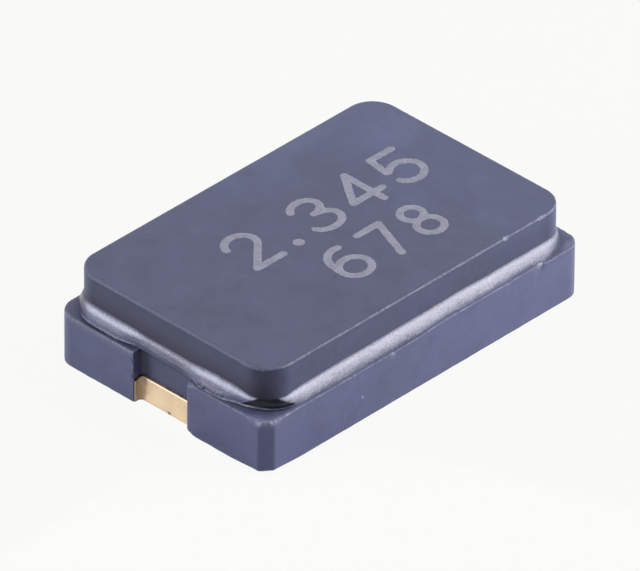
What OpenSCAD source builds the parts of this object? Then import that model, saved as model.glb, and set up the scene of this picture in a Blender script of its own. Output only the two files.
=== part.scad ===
// Two-terminal quartz crystal in a glass-sealed ceramic package, for soldering to a board.
// Sizes are in millimetres. The origin is the middle of the footprint on the board, with +Z up.
// +X runs along the long side. Left is -X, right is +X, front is -Y and back is +Y.
// The bevelled corner is the one at the left and the front.
// The ceramic tub holds a quartz plate that two dots of conductive adhesive carry at its left end.

/* [Package] */
// Length of the ceramic base along X
package_l = 5.0; // [4.6:0.1:7]
// Width of the ceramic base along Y
package_w = 3.2; // [3:0.1:5]
// Thickness of the lower ceramic sheet
sheet_t = 0.285; // [0.2:0.005:0.4]
// Height of the wall that is fired onto the lower sheet
wall_h = 0.365; // [0.3:0.005:0.5]
// Width of the wall around the cavity
wall_w = 0.55; // [0.45:0.01:0.65]
// Radius of the base's upright corners
base_corner_r = 0.23; // [0.16:0.01:0.35]
// Radius of the upright corner that carries the bevel
bevel_corner_r = 0.15; // [0.12:0.01:0.2]
// Width of the flat bevel on that corner
bevel_w = 0.17; // [0.08:0.01:0.22]
// Radius of the cavity's corners
cavity_corner_r = 0.2; // [0.1:0.01:0.35]

/* [End notches] */
// Width of the notch in the middle of each short end
notch_w = 0.81; // [0.6:0.01:1.2]
// Depth of the notch in the wall
notch_wall_depth = 0.14; // [0.125:0.005:0.2]
// Depth of the notch in the lower sheet, before plating
notch_sheet_depth = 0.12; // [0.1:0.005:0.125]
// Radius of the notch's inner corners
notch_corner_r = 0.09; // [0.05:0.005:0.095]

/* [Lid and seal] */
// Distance of the lid's side from the base's side at the short ends
lid_inset_x = 0.14; // [0.08:0.01:0.2]
// Distance of the lid's side from the base's side along the long sides
lid_inset_y = 0.10; // [0.06:0.01:0.2]
// Height of the lid
lid_h = 0.52; // [0.45:0.01:0.8]
// Thickness of the lid's roof
lid_roof_t = 0.27; // [0.15:0.01:0.35]
// Width of the lid's rim around its hollow
lid_rim_w = 0.40; // [0.3:0.01:0.5]
// Radius of the lid's upright corners
lid_corner_r = 0.34; // [0.2:0.01:0.5]
// Radius of the corners of the lid's hollow
lid_hollow_corner_r = 0.2; // [0.1:0.01:0.35]
// Thickness of the glass between the base and the lid
seal_t = 0.03; // [0.01:0.005:0.06]
// Height to which the glass climbs the lid's side, above the base
seal_climb = 0.175; // [0.1:0.005:0.25]
// Width of the glass bead outside the lid's side
seal_bead_w = 0.035; // [0.02:0.005:0.05]

/* [Metal] */
// Thickness of the terminals' plating
plating_t = 0.015; // [0.01:0.001:0.03]
// Length along X of the solder pad under each end
pad_l = 1.2; // [0.8:0.05:1.5]
// Width along Y of the solder pad under each end
pad_w = 2.2; // [1.5:0.05:2.6]
// Radius of the solder pads' corners
pad_corner_r = 0.1; // [0.05:0.01:0.2]
// Thickness of the printed tracks between the sheet and the wall
track_t = 0.015; // [0.01:0.001:0.025]
// Width of the tracks
track_w = 0.3; // [0.15:0.01:0.35]
// Clearance between the two tracks, where the left one passes the back raised pad
track_gap = 0.2; // [0.1:0.01:0.25]
// Distance of the long track's turn from the cavity's far end
track_end_gap = 0.1; // [0.05:0.01:0.2]
// Length along X of the raised pads that carry the quartz plate
carrier_l = 0.5; // [0.42:0.01:0.6]
// Width along Y of the raised pads that carry the quartz plate
carrier_w = 0.5; // [0.42:0.01:0.52]
// Height of the raised pads above their tracks
carrier_h = 0.05; // [0.03:0.005:0.07]
// Distance of the raised pads from the cavity's end wall
carrier_end_gap = 0.1; // [0.05:0.01:0.2]
// Radius of the adhesive dots at their widest
dot_r = 0.2; // [0.15:0.01:0.21]
// Thickness of the adhesive between a raised pad and the plated quartz
dot_t = 0.03; // [0.02:0.005:0.05]

/* [Quartz plate] */
// Frequency at which the quartz plate vibrates, in megahertz
frequency = 6; // [6:1:16]
// Gap between the quartz plate and the cavity's end wall, at the carried end
carried_end_gap = 0.15; // [0.1:0.01:0.25]
// Gap between the quartz plate and the cavity's end wall, at the free end
free_end_gap = 0.35; // [0.2:0.01:0.6]
// Gap between the quartz plate and the cavity's long walls
side_gap = 0.2; // [0.1:0.01:0.25]
// Length of the bevel at each end of the quartz plate
quartz_bevel_l = 0.45; // [0.2:0.01:0.6]
// Depth by which each face falls along its bevel
quartz_bevel_drop = 0.02; // [0.01:0.005:0.03]
// Thickness at which the electrode films are drawn
film_t = 0.01; // [0.006:0.001:0.015]
// Distance of the electrodes from the quartz plate's ends
electrode_end_margin = 0.75; // [0.6:0.01:1]
// Distance of the electrodes from the quartz plate's long edges
electrode_side_margin = 0.25; // [0.1:0.01:0.35]
// Width of the tab that joins each electrode to its adhesive dot
tab_w = 0.3; // [0.15:0.01:0.4]

/* [Hidden] */
// Number of sides drawn on a full circle
$fn = 64;
// Length by which a cutting shape passes the face that it cuts
cut = 0.05;
// Megahertz times millimetres of an AT-cut plate in thickness shear
quartz_constant = 1.67;
// Number of steps in the curve of the glass bead
bead_steps = 6;

// Heights of the faces from the board up
sheet_z = plating_t;
sheet_top = sheet_z + sheet_t;
track_top = sheet_top + track_t;
base_top = sheet_top + wall_h;
lid_z = base_top + seal_t;
carrier_top = track_top + carrier_h;
film_z = carrier_top + dot_t;
quartz_z = film_z + film_t;
quartz_t = quartz_constant / frequency;

// Plan sizes of what the package sets
cavity_l = package_l - 2 * wall_w;
cavity_w = package_w - 2 * wall_w;
lid_l = package_l - 2 * lid_inset_x;
lid_w = package_w - 2 * lid_inset_y;
hollow_l = lid_l - 2 * lid_rim_w;
hollow_w = lid_w - 2 * lid_rim_w;
notch_floor_x = package_l / 2 - notch_wall_depth;

// Plan of the quartz plate and of what carries it
quartz_x0 = -cavity_l / 2 + carried_end_gap;
quartz_l = cavity_l - carried_end_gap - free_end_gap;
quartz_w = cavity_w - 2 * side_gap;
carrier_x0 = -cavity_l / 2 + carrier_end_gap;
carrier_x = carrier_x0 + carrier_l / 2;
carrier_y = (quartz_w - carrier_w) / 2;
left_track_y = quartz_w / 2 - carrier_w - track_gap - track_w / 2;
electrode_x0 = quartz_x0 + electrode_end_margin;
electrode_l = quartz_l - 2 * electrode_end_margin;
electrode_w = quartz_w - 2 * electrode_side_margin;

// A flat block with upright rounded corners, centred on the origin and standing on z = 0
module rounded_block(l, w, h, r) {
    flat_l = l - 2 * r;
    flat_w = w - 2 * r;
    linear_extrude(h) {
        union() {
            square([l, flat_w], center = true);
            square([flat_l, w], center = true);
            for (x = [-1, 1], y = [-1, 1])
                translate([x * flat_l / 2, y * flat_w / 2])
                    circle(r);
        }
    }
}

// A box from one corner, with its sizes given as spans
module span_box(x0, x1, y0, y1, z0, z1) {
    translate([x0, y0, z0])
        cube([x1 - x0, y1 - y0, z1 - z0]);
}

// The base's outline, with the tighter radius at the corner that carries the bevel
module base_block() {
    patch = 4 * bevel_corner_r;
    h = base_top - sheet_z;
    rounded_block(package_l, package_w, h, base_corner_r);
    translate([(patch - package_l) / 2, (patch - package_w) / 2, 0])
        rounded_block(patch, patch, h, bevel_corner_r);
}

// The wedge that is cut off to leave the bevel, which is a chord of the corner's arc
module bevel_cutter() {
    chord_depth = sqrt(pow(bevel_corner_r, 2) - pow(bevel_w / 2, 2));
    arc_x = -package_l / 2 + bevel_corner_r;
    arc_y = -package_w / 2 + bevel_corner_r;
    translate([arc_x, arc_y, sheet_z - cut])
        rotate([0, 0, 45])
            translate([-chord_depth - package_w, -package_w / 2, 0])
                cube([package_w, package_w, base_top - sheet_z + 2 * cut]);
}

// The space of one notch, at the end on the side given as -1 or 1
module notch_space(side, depth, shrink, z0, z1) {
    translate([side * package_l / 2, 0, z0])
        rounded_block(2 * (depth - shrink), notch_w - 2 * shrink, z1 - z0, notch_corner_r - shrink);
}

// Ceramic tub: the lower sheet and the wall, fired together into one piece
module ceramic_base() {
    color([0.40, 0.41, 0.50])
        difference() {
            translate([0, 0, sheet_z])
                base_block();
            bevel_cutter();
            translate([0, 0, sheet_top])
                rounded_block(cavity_l, cavity_w, wall_h + cut, cavity_corner_r);
            for (side = [-1, 1]) {
                notch_space(side, notch_sheet_depth, 0, sheet_z - cut, sheet_top);
                notch_space(side, notch_wall_depth, 0, sheet_top, base_top + cut);
            }
            left_track_shape(cut);
            right_track_shape(cut);
        }
}

// Ceramic cap, hollow underneath
module ceramic_lid() {
    color([0.39, 0.40, 0.49])
        difference() {
            translate([0, 0, lid_z])
                rounded_block(lid_l, lid_w, lid_h, lid_corner_r);
            translate([0, 0, lid_z - cut])
                rounded_block(hollow_l, hollow_w, lid_h - lid_roof_t + cut, lid_hollow_corner_r);
        }
}

// Section of the glass bead: X runs out from the lid's side and Y is the height above the base.
// The outer edge follows an ellipse that stands on the base and meets the lid's side at its top.
module bead_section(lap) {
    curve = [
        for (i = [0:bead_steps])
            let (a = 90 * i / bead_steps)
            [seal_bead_w * cos(a), seal_climb * sin(a)]
    ];
    polygon(concat([[-lap, 0]], curve, [[0, seal_t], [-lap, seal_t]]));
}

// A straight stretch of the bead along Y, whose lid side stands at a distance along +X
module bead_side(length, distance) {
    translate([distance, length / 2, 0])
        rotate([90, 0, 0])
            linear_extrude(length)
                bead_section(lid_corner_r / 2);
}

// A quarter turn of the bead around a lid corner whose centre is on the Z axis
module bead_corner() {
    rotate_extrude(angle = 90)
        translate([lid_corner_r, 0])
            bead_section(lid_corner_r / 2);
}

// Glass that joins the lid to the base: a flat ring under the lid's rim and a bead around its side
module glass_seal() {
    side_l = lid_l - 2 * lid_corner_r;
    side_w = lid_w - 2 * lid_corner_r;
    color([0.60, 0.61, 0.68])
        translate([0, 0, base_top])
            union() {
                difference() {
                    rounded_block(lid_l, lid_w, seal_t, lid_corner_r);
                    translate([0, 0, -cut])
                        rounded_block(hollow_l, hollow_w, seal_t + 2 * cut, lid_hollow_corner_r);
                }
                for (turn = [0, 180])
                    rotate([0, 0, turn]) {
                        bead_side(side_w, lid_l / 2);
                        translate([side_l / 2, side_w / 2, 0])
                            bead_corner();
                    }
                for (turn = [90, 270])
                    rotate([0, 0, turn]) {
                        bead_side(side_l, lid_w / 2);
                        translate([side_w / 2, side_l / 2, 0])
                            bead_corner();
                    }
            }
}

// Plated terminal: the solder pad under one end, the lining of the notch's lower half,
// and the ledge where that half is shallower than the wall above it
module terminal(side) {
    pad_x = side * (package_l / 2 - notch_sheet_depth + plating_t - pad_l / 2);
    color([0.87, 0.76, 0.60])
        union() {
            translate([pad_x, 0, 0])
                rounded_block(pad_l, pad_w, plating_t, pad_corner_r);
            difference() {
                union() {
                    notch_space(side, notch_sheet_depth, 0, 0, sheet_top);
                    notch_space(side, notch_wall_depth, 0, sheet_top, track_top);
                }
                notch_space(side, notch_sheet_depth, plating_t, -cut, track_top + cut);
                translate([side * package_l, 0, track_top / 2])
                    cube([package_l, package_w, track_top + 2 * cut], center = true);
            }
        }
}

module terminal_left() {
    terminal(-1);
}

module terminal_right() {
    terminal(1);
}

// Track from the left terminal, under the wall, to the front carrier pad.
// The lap carries the shape on into the notch, for where it cuts the base.
module left_track_shape(lap) {
    turn_y = left_track_y + track_w / 2;
    x0 = -notch_floor_x - lap;
    span_box(x0, carrier_x0 + carrier_l, turn_y - track_w, turn_y, sheet_top, track_top);
    span_box(carrier_x0, carrier_x0 + carrier_l, -quartz_w / 2, left_track_y, sheet_top, track_top);
}

// Track from the back carrier pad along the cavity, then under the wall to the right terminal.
// The lap carries the shape on into the notch, for where it cuts the base.
module right_track_shape(lap) {
    turn_x = cavity_l / 2 - track_end_gap;
    edge_y = quartz_w / 2;
    span_box(carrier_x0, carrier_x0 + carrier_l, edge_y - carrier_w, edge_y, sheet_top, track_top);
    span_box(carrier_x0, turn_x, edge_y - track_w, edge_y, sheet_top, track_top);
    span_box(turn_x - track_w, turn_x, -track_w / 2, edge_y, sheet_top, track_top);
    x1 = notch_floor_x + lap;
    span_box(turn_x - track_w, x1, -track_w / 2, track_w / 2, sheet_top, track_top);
}

module feed_track_left() {
    color([0.75, 0.66, 0.50])
        union()
            left_track_shape(0);
}

module feed_track_right() {
    color([0.75, 0.66, 0.50])
        union()
            right_track_shape(0);
}

// Raised pad that carries one corner of the quartz plate
module carrier_pad(side) {
    color([0.85, 0.72, 0.45])
        translate([carrier_x, side * carrier_y, track_top])
            linear_extrude(carrier_h)
                square([carrier_l, carrier_w], center = true);
}

module carrier_pad_front() {
    carrier_pad(-1);
}

module carrier_pad_back() {
    carrier_pad(1);
}

// Section of the quartz plate along X, grown by a skin on every side.
// Both faces are flat in the middle and fall away towards the two ends.
module quartz_section(skin) {
    x0 = quartz_x0 - skin;
    x1 = quartz_x0 + quartz_bevel_l;
    x2 = quartz_x0 + quartz_l - quartz_bevel_l;
    x3 = quartz_x0 + quartz_l + skin;
    low = quartz_z - skin;
    high = quartz_z + quartz_t + skin;
    drop = quartz_bevel_drop;
    polygon([
        [x0, low + drop], [x1, low], [x2, low], [x3, low + drop],
        [x3, high - drop], [x2, high], [x1, high], [x0, high - drop]
    ]);
}

// The quartz plate, grown by a skin above, below and at its ends
module quartz_block(skin) {
    translate([0, quartz_w / 2, 0])
        rotate([90, 0, 0])
            linear_extrude(quartz_w)
                quartz_section(skin);
}

// Adhesive dot: a squeezed drop between a carrier pad and the plated quartz plate
module adhesive_dot(side) {
    top = film_z + quartz_bevel_drop + film_t;
    mid = (top + carrier_top) / 2;
    color([0.72, 0.72, 0.70])
        difference() {
            intersection() {
                translate([carrier_x, side * carrier_y, mid])
                    sphere(dot_r);
                span_box(
                    carrier_x0, carrier_x0 + carrier_l,
                    side * carrier_y - carrier_w / 2, side * carrier_y + carrier_w / 2,
                    carrier_top, top
                );
            }
            quartz_block(film_t);
        }
}

module adhesive_dot_front() {
    adhesive_dot(-1);
}

module adhesive_dot_back() {
    adhesive_dot(1);
}

// AT-cut quartz plate, whose thickness sets its frequency
module quartz_plate() {
    color([0.85, 0.90, 0.93])
        quartz_block(0);
}

// Plan of an electrode and its tab, as a prism between two heights
module electrode_prism(side, z0, z1) {
    tab_y = side * carrier_y;
    span_box(electrode_x0, electrode_x0 + electrode_l, -electrode_w / 2, electrode_w / 2, z0, z1);
    span_box(quartz_x0 - 2 * film_t, electrode_x0 + tab_w, tab_y - tab_w / 2, tab_y + tab_w / 2, z0, z1);
}

// Film under the quartz plate, with its tab over the front adhesive dot
module lower_electrode() {
    mid = quartz_z + quartz_t / 2;
    color([0.80, 0.80, 0.80])
        difference() {
            intersection() {
                quartz_block(film_t);
                electrode_prism(-1, film_z - cut, quartz_z + quartz_bevel_drop);
            }
            quartz_block(0);
            span_box(quartz_x0 - 3 * film_t, quartz_x0, -package_w, package_w, film_z - cut, mid);
        }
}

// Film over the quartz plate, whose tab wraps around the end down to the back adhesive dot
module upper_electrode() {
    mid = quartz_z + quartz_t / 2;
    tab_y = carrier_y;
    color([0.80, 0.80, 0.80])
        difference() {
            intersection() {
                quartz_block(film_t);
                union() {
                    electrode_prism(1, mid, quartz_z + quartz_t + cut);
                    span_box(
                        quartz_x0 - 2 * film_t, carrier_x0 + carrier_l,
                        tab_y - tab_w / 2, tab_y + tab_w / 2,
                        film_z - cut, mid + cut
                    );
                }
            }
            quartz_block(0);
        }
}

ceramic_base();
ceramic_lid();
glass_seal();
terminal_left();
terminal_right();
feed_track_left();
feed_track_right();
carrier_pad_front();
carrier_pad_back();
adhesive_dot_front();
adhesive_dot_back();
quartz_plate();
upper_electrode();
lower_electrode();
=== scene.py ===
"""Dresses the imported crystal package: ceramic tub and lid, sealing glass, plated notches and marking."""
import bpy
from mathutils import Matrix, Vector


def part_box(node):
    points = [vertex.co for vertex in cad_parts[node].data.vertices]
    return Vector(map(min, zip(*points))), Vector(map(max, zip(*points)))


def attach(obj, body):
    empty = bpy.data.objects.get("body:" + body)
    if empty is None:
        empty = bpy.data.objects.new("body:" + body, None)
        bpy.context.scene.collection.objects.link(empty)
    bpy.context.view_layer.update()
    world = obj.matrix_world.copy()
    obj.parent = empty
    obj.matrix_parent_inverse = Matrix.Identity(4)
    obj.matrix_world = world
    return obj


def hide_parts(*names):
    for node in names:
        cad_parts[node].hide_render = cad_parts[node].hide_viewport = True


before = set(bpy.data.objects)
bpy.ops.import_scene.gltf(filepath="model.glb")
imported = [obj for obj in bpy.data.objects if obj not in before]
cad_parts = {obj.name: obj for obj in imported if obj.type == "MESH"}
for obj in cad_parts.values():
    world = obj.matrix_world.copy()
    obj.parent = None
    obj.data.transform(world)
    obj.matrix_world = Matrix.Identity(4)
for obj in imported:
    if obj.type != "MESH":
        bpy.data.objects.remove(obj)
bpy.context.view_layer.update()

from types import SimpleNamespace

import bpy
import numpy as np
from bpy.props import FloatProperty
from bpy.props import FloatVectorProperty
from bpy.props import PointerProperty
from mathutils import Matrix
from mathutils import Vector

bl_info = {
    "name": "Ceramic crystal package",
    "version": (1, 0, 0),
    "blender": (4, 5, 0),
    "location": "3D View > Sidebar > Crystal",
    "description": "Builds the visible pieces of a glass-sealed ceramic crystal package",
    "category": "Add Mesh",
}

# Shapes are worked out in millimetres and stored in metres
MM = 0.001


def node_box(node):
    """Lowest and highest corner of a CAD node, in millimetres."""
    low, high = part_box(node)
    return np.array(low) / MM, np.array(high) / MM


BASE_LOW, BASE_HIGH = node_box("ceramic_base")
LID_LOW, LID_HIGH = node_box("ceramic_lid")
SEAL_LOW, _ = node_box("glass_seal")

# Height of the step in each notch, where the lower sheet ends and the wall begins
SHEET_TOP = 0.300
# Height of the ceramic's lower face, a little over the pads' lower faces
FOOT = 0.004
# Edges that turn by more degrees than this are drawn sharp
SHARP_ANGLE = 40.0


# Settings

class CeramicSettings(bpy.types.PropertyGroup):
    """Shape details and colours of the ceramic tub and lid"""
    lid_edge: FloatProperty(
        name="Lid edge", description="Radius of the worn edge around the lid's top, in mm",
        default=0.019, min=0.005, max=0.05)
    base_edge: FloatProperty(
        name="Base edge", description="Radius of the worn edge around the base's top, in mm",
        default=0.013, min=0.004, max=0.03)
    chip_depth: FloatProperty(
        name="Chip depth", description="Depth of the largest edge chips, in mm",
        default=0.024, min=0.0, max=0.05)
    lid_corner: FloatProperty(
        name="Lid corner", description="Radius of the lid's upright corners, in mm",
        default=0.34, min=0.2, max=0.5)
    base_corner: FloatProperty(
        name="Base corner", description="Radius of the base's upright corners, in mm",
        default=0.23, min=0.15, max=0.35)
    bevel_width: FloatProperty(
        name="Bevel width", description="Width of the flat bevel on one corner of the base, in mm",
        default=0.18, min=0.08, max=0.22)
    colour: FloatVectorProperty(
        name="Ceramic", description="Colour of the ceramic", subtype="COLOR", size=3,
        default=(0.066, 0.071, 0.139), min=0.0, max=1.0)


class SealSettings(bpy.types.PropertyGroup):
    """Shape details and colours of the sealing glass"""
    bulge: FloatProperty(
        name="Bulge", description="Distance by which the bead stands out from the lid's side, in mm",
        default=0.068, min=0.02, max=0.08)
    climb: FloatProperty(
        name="Climb", description="Height to which the glass climbs the lid's side, in mm",
        default=0.188, min=0.1, max=0.2)
    rim: FloatProperty(
        name="Rim", description="Height of the bead's lower rim over the base, in mm",
        default=0.018, min=0.005, max=0.04)
    # The pale and dark glass colours are the two ends of the painted light and shade on the glass
    colour: FloatVectorProperty(
        name="Pale glass", description="Colour of the sealing glass where it is thick",
        subtype="COLOR", size=3, default=(0.355, 0.361, 0.460), min=0.0, max=1.0)
    low_colour: FloatVectorProperty(
        name="Dark glass", description="Colour of the sealing glass at its foot",
        subtype="COLOR", size=3, default=(0.078, 0.084, 0.160), min=0.0, max=1.0)


class PlatingSettings(bpy.types.PropertyGroup):
    """Shape details and colours of the gold plating"""
    notch_width: FloatProperty(
        name="Notch width", description="Width of each end notch, in mm",
        default=0.81, min=0.6, max=1.2)
    wall_depth: FloatProperty(
        name="Wall notch depth", description="Depth of each notch in the wall, in mm",
        default=0.14, min=0.12, max=0.2)
    sheet_depth: FloatProperty(
        name="Sheet notch depth", description="Depth of each notch in the lower sheet, in mm",
        default=0.12, min=0.1, max=0.13)
    inner_corner: FloatProperty(
        name="Inner corner", description="Radius of the notch's inner corners, in mm",
        default=0.065, min=0.04, max=0.1)
    thickness: FloatProperty(
        name="Plating thickness", description="Thickness of the plating, in mm",
        default=0.015, min=0.005, max=0.03)
    colour: FloatVectorProperty(
        name="Gold", description="Colour of the plating", subtype="COLOR", size=3,
        default=(0.80, 0.62, 0.42), min=0.0, max=1.0)


class MarkingSettings(bpy.types.PropertyGroup):
    """Shape details and colours of the plain digits on the lid"""
    stroke: FloatProperty(
        name="Stroke", description="Width of the digits' strokes, in mm",
        default=0.092, min=0.05, max=0.15)
    cell: FloatProperty(
        name="Cell", description="Size of the grid cells that the digits are cut from, in mm",
        default=0.009, min=0.006, max=0.03)
    colour: FloatVectorProperty(
        name="Marking", description="Colour of the digits", subtype="COLOR", size=3,
        default=(0.283, 0.288, 0.376), min=0.0, max=1.0)


class StageSettings(bpy.types.PropertyGroup):
    """Camera and lamps"""
    focal: FloatProperty(
        name="Focal length", description="Focal length of the camera on a 36 mm sensor, in mm",
        default=872.3, min=50.0, max=2000.0)
    left_light: FloatProperty(
        name="Left light", description="Brightness of the lamp on the left, where 1 is white",
        default=3.35, min=0.0, max=20.0)
    right_light: FloatProperty(
        name="Right light", description="Brightness of the lamp on the right, where 1 is white",
        default=6.3, min=0.0, max=20.0)
    back_light: FloatProperty(
        name="Back light", description="Brightness of the lamp behind and above, where 1 is white",
        default=0.5, min=0.0, max=20.0)
    sky: FloatProperty(
        name="Sky", description="Brightness of the surroundings, where 1 is white",
        default=0.12, min=0.0, max=2.0)


SETTINGS = {
    "crystal_ceramic": CeramicSettings,
    "crystal_seal": SealSettings,
    "crystal_plating": PlatingSettings,
    "crystal_marking": MarkingSettings,
    "crystal_stage": StageSettings,
}


# Noise and outlines

def ripple(points, size, seed, octaves=3):
    """Smooth noise of about -1 to 1, made of sine waves in random directions.

    Each octave has half the size and half the height of the one before.
    """
    random = np.random.default_rng(seed)
    points = np.asarray(points, float)
    total = np.zeros(points.shape[:-1])
    for octave in range(octaves):
        waves = random.normal(size=(20, points.shape[-1]))
        waves /= np.linalg.norm(waves, axis=1, keepdims=True)
        waves *= (2 * np.pi * 2 ** octave / size) * random.uniform(0.6, 1.4, (20, 1))
        phase = random.uniform(0, 2 * np.pi, 20)
        total += np.sin(points @ waves.T + phase).sum(-1) / np.sqrt(20) / 2 ** octave
    return total


def smooth(x, low, high):
    """0 below low, 1 above high, and a smooth S between them."""
    t = np.clip((x - low) / (high - low), 0, 1)
    return t * t * (3 - 2 * t)


def band(x, up_from, up_to, down_from, down_to):
    """1 between up_to and down_from, 0 below up_from and above down_to, and a smooth S between."""
    return smooth(x, up_from, up_to) * smooth(x, down_to, down_from)


def near(points, place, far, close):
    """1 within a distance close of a place, falling to 0 at a distance far, seen from above."""
    return smooth(np.hypot(points[:, 0] - place[0], points[:, 1] - place[1]), far, close)


def crown(count):
    """A hump over a number of rings, as a column: 0 at the first and the last, 1 in the middle."""
    return np.sin(np.linspace(0, np.pi, count))[:, None]


def turned(vector, angle):
    """A flat vector turned by each of several angles."""
    cos, sin = np.cos(angle), np.sin(angle)
    return np.stack([vector[0] * cos - vector[1] * sin, vector[0] * sin + vector[1] * cos], 1)


def filleted(corners, radii, counts, arc_points):
    """Closed outline of straight runs and tangent arcs, with its outward normals.

    At each corner the run turns through an arc of the given radius, which starts and ends at the
    radius times the tangent of half the turn from the corner. counts is the number of points on
    each straight run after its arc, so outlines with equal counts match point for point.
    """
    corners = np.asarray(corners, float)
    radii = np.asarray(radii, float)
    before = corners - np.roll(corners, 1, 0)
    before /= np.linalg.norm(before, axis=1, keepdims=True)
    after = np.roll(before, -1, 0)
    turn = np.arctan2(before[:, 0] * after[:, 1] - before[:, 1] * after[:, 0], (before * after).sum(1))
    reach = radii * np.tan(np.abs(turn) / 2)
    start = corners - before * reach[:, None]
    side = np.sign(turn)[:, None] * np.stack([-before[:, 1], before[:, 0]], 1)
    centre = start + side * radii[:, None]
    end = corners + after * reach[:, None]
    points = []
    tangents = []
    steps = np.linspace(0, 1, arc_points)
    for i in range(len(corners)):
        angle = turn[i] * steps
        points.append(centre[i] + turned(start[i] - centre[i], angle))
        tangents.append(turned(before[i], angle))
        along = np.linspace(0, 1, counts[i] + 2)[1:-1, None]
        points.append(end[i] + (start[(i + 1) % len(corners)] - end[i]) * along)
        tangents.append(np.repeat(after[i][None], counts[i], 0))
    points = np.concatenate(points)
    tangents = np.concatenate(tangents)
    return points, np.stack([tangents[:, 1], -tangents[:, 0]], 1)


def rectangle(half_l, half_w, radius, counts, arc_points):
    """Rounded rectangle from its front left corner, anticlockwise, as points and outward normals."""
    corners = [(-half_l, -half_w), (half_l, -half_w), (half_l, half_w), (-half_l, half_w)]
    return filleted(corners, [radius] * 4, counts, arc_points)


def ring(points, z):
    """An outline at a height, or at a height for each of its points."""
    return np.concatenate([points, np.broadcast_to(np.asarray(z, float), len(points))[:, None]], 1)


def spine(points, half_l, half_w):
    """The nearest point of each on the rectangle's middle line, which closes its top or its floor."""
    reach = max(half_l - half_w, 0.0)
    flat = np.zeros_like(points)
    flat[:, 0] = np.clip(points[:, 0], -reach, reach)
    return flat


# Meshes

def weld(vertices, quads):
    """Joins vertices that lie in one place and turns quads that lose a side into triangles."""
    keys = np.round(vertices * 1e6).astype(np.int64)
    _, first, place = np.unique(keys, axis=0, return_index=True, return_inverse=True)
    place = place.reshape(-1)
    quads = place[quads]
    keep = quads != np.roll(quads, -1, 1)
    count = keep.sum(1)
    good = count >= 3
    return first, quads[good][keep[good]], count[good]


def make_mesh(name, vertices, quads, attributes=None):
    """A mesh object at the origin from vertices in millimetres and quads, welded and facing outwards."""
    first, corners, sizes = weld(vertices, quads)
    vertices = vertices[first]
    starts = np.concatenate([[0], np.cumsum(sizes)[:-1]])
    a = vertices[corners[starts]]
    volume = 0.0
    for step in (1, 2):
        fits = sizes > step + 1
        b = vertices[corners[starts[fits] + step]]
        c = vertices[corners[starts[fits] + step + 1]]
        volume += np.einsum("ij,ij->i", a[fits], np.cross(b, c)).sum()
    if volume < 0:
        owner = np.repeat(np.arange(len(sizes)), sizes)
        inside = np.arange(len(corners)) - starts[owner]
        corners = corners[starts[owner] + sizes[owner] - 1 - inside]
    mesh = bpy.data.meshes.new(name)
    mesh.vertices.add(len(vertices))
    mesh.vertices.foreach_set("co", (vertices * MM).astype(np.float32).ravel())
    mesh.loops.add(len(corners))
    mesh.loops.foreach_set("vertex_index", corners.astype(np.int32))
    mesh.polygons.add(len(sizes))
    mesh.polygons.foreach_set("loop_start", starts.astype(np.int32))
    mesh.update(calc_edges=True)
    mesh.validate()
    mesh.polygons.foreach_set("use_smooth", np.ones(len(mesh.polygons), bool))
    mesh.set_sharp_from_angle(angle=np.radians(SHARP_ANGLE))
    for key, values in (attributes or {}).items():
        layer = mesh.attributes.new(key, "FLOAT", "POINT")
        layer.data.foreach_set("value", np.asarray(values, np.float32)[first])
    obj = bpy.data.objects.new(name, mesh)
    bpy.context.scene.collection.objects.link(obj)
    return obj


def carried(name, rings, attributes=None, closed=False):
    """A surface of rings that match point for point. closed joins the last ring to the first."""
    rings = np.asarray(rings)
    rows, columns = rings.shape[:2]
    index = np.arange(rows * columns).reshape(rows, columns)
    if closed:
        index = np.concatenate([index, index[:1]])
    low, high = index[:-1], index[1:]
    quads = np.stack([low, np.roll(low, -1, 1), np.roll(high, -1, 1), high], -1).reshape(-1, 4)
    flat = {key: np.asarray(values).reshape(-1) for key, values in (attributes or {}).items()}
    return make_mesh(name, rings.reshape(-1, 3), quads, flat)


def finish_piece(obj, material, slot, *nodes):
    """Gives a piece its material, and lets it ride with the package and stand for CAD nodes; slot is not
    used.
    """
    obj.data.materials.append(material)
    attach(obj, "root")
    if nodes:
        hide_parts(*nodes)


# Materials

# Colours of pale specks on the ceramic and of the painted black reflection in clear glass
SPECK_COLOUR = (0.34, 0.375, 0.56)
REFLECTED_BLACK = (0.018, 0.018, 0.030)
# Colour of the background in the picture
BACKGROUND = (0.956, 0.956, 0.939, 1.0)


class Nodes:
    """Fills a node tree by short calls."""

    def __init__(self, tree):
        self.tree = tree
        self.tree.nodes.clear()

    def feed(self, socket, value):
        """Links a socket, or gives it a plain value."""
        if isinstance(value, bpy.types.NodeSocket):
            self.tree.links.new(value, socket)
        else:
            socket.default_value = value

    def node(self, kind, inputs=None, **settings):
        """A node with its settings, and inputs that are links or plain values."""
        made = self.tree.nodes.new(kind)
        for key, value in settings.items():
            setattr(made, key, value)
        for key, value in (inputs or {}).items():
            self.feed(made.inputs[key], value)
        return made

    def maths(self, operation, a, b=0.0, c=0.0):
        """Arithmetic on numbers."""
        return self.node("ShaderNodeMath", {0: a, 1: b, 2: c}, operation=operation).outputs[0]

    def times(self, a, b, plus=0.0):
        """A number times another, and something added."""
        return self.maths("MULTIPLY_ADD", a, b, plus)

    def mix(self, factor, first, second):
        """A mix of two shaders."""
        return self.node("ShaderNodeMixShader", {0: factor, 1: first, 2: second}).outputs[0]

    def in_view(self):
        """1 for rays from the camera and from glossy or clear surfaces, 0 for those that carry light."""
        path = self.node("ShaderNodeLightPath")
        seen = self.maths("MAXIMUM", path.outputs["Is Camera Ray"], path.outputs["Is Glossy Ray"])
        return self.maths("MAXIMUM", seen, path.outputs["Is Transmission Ray"])


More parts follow.
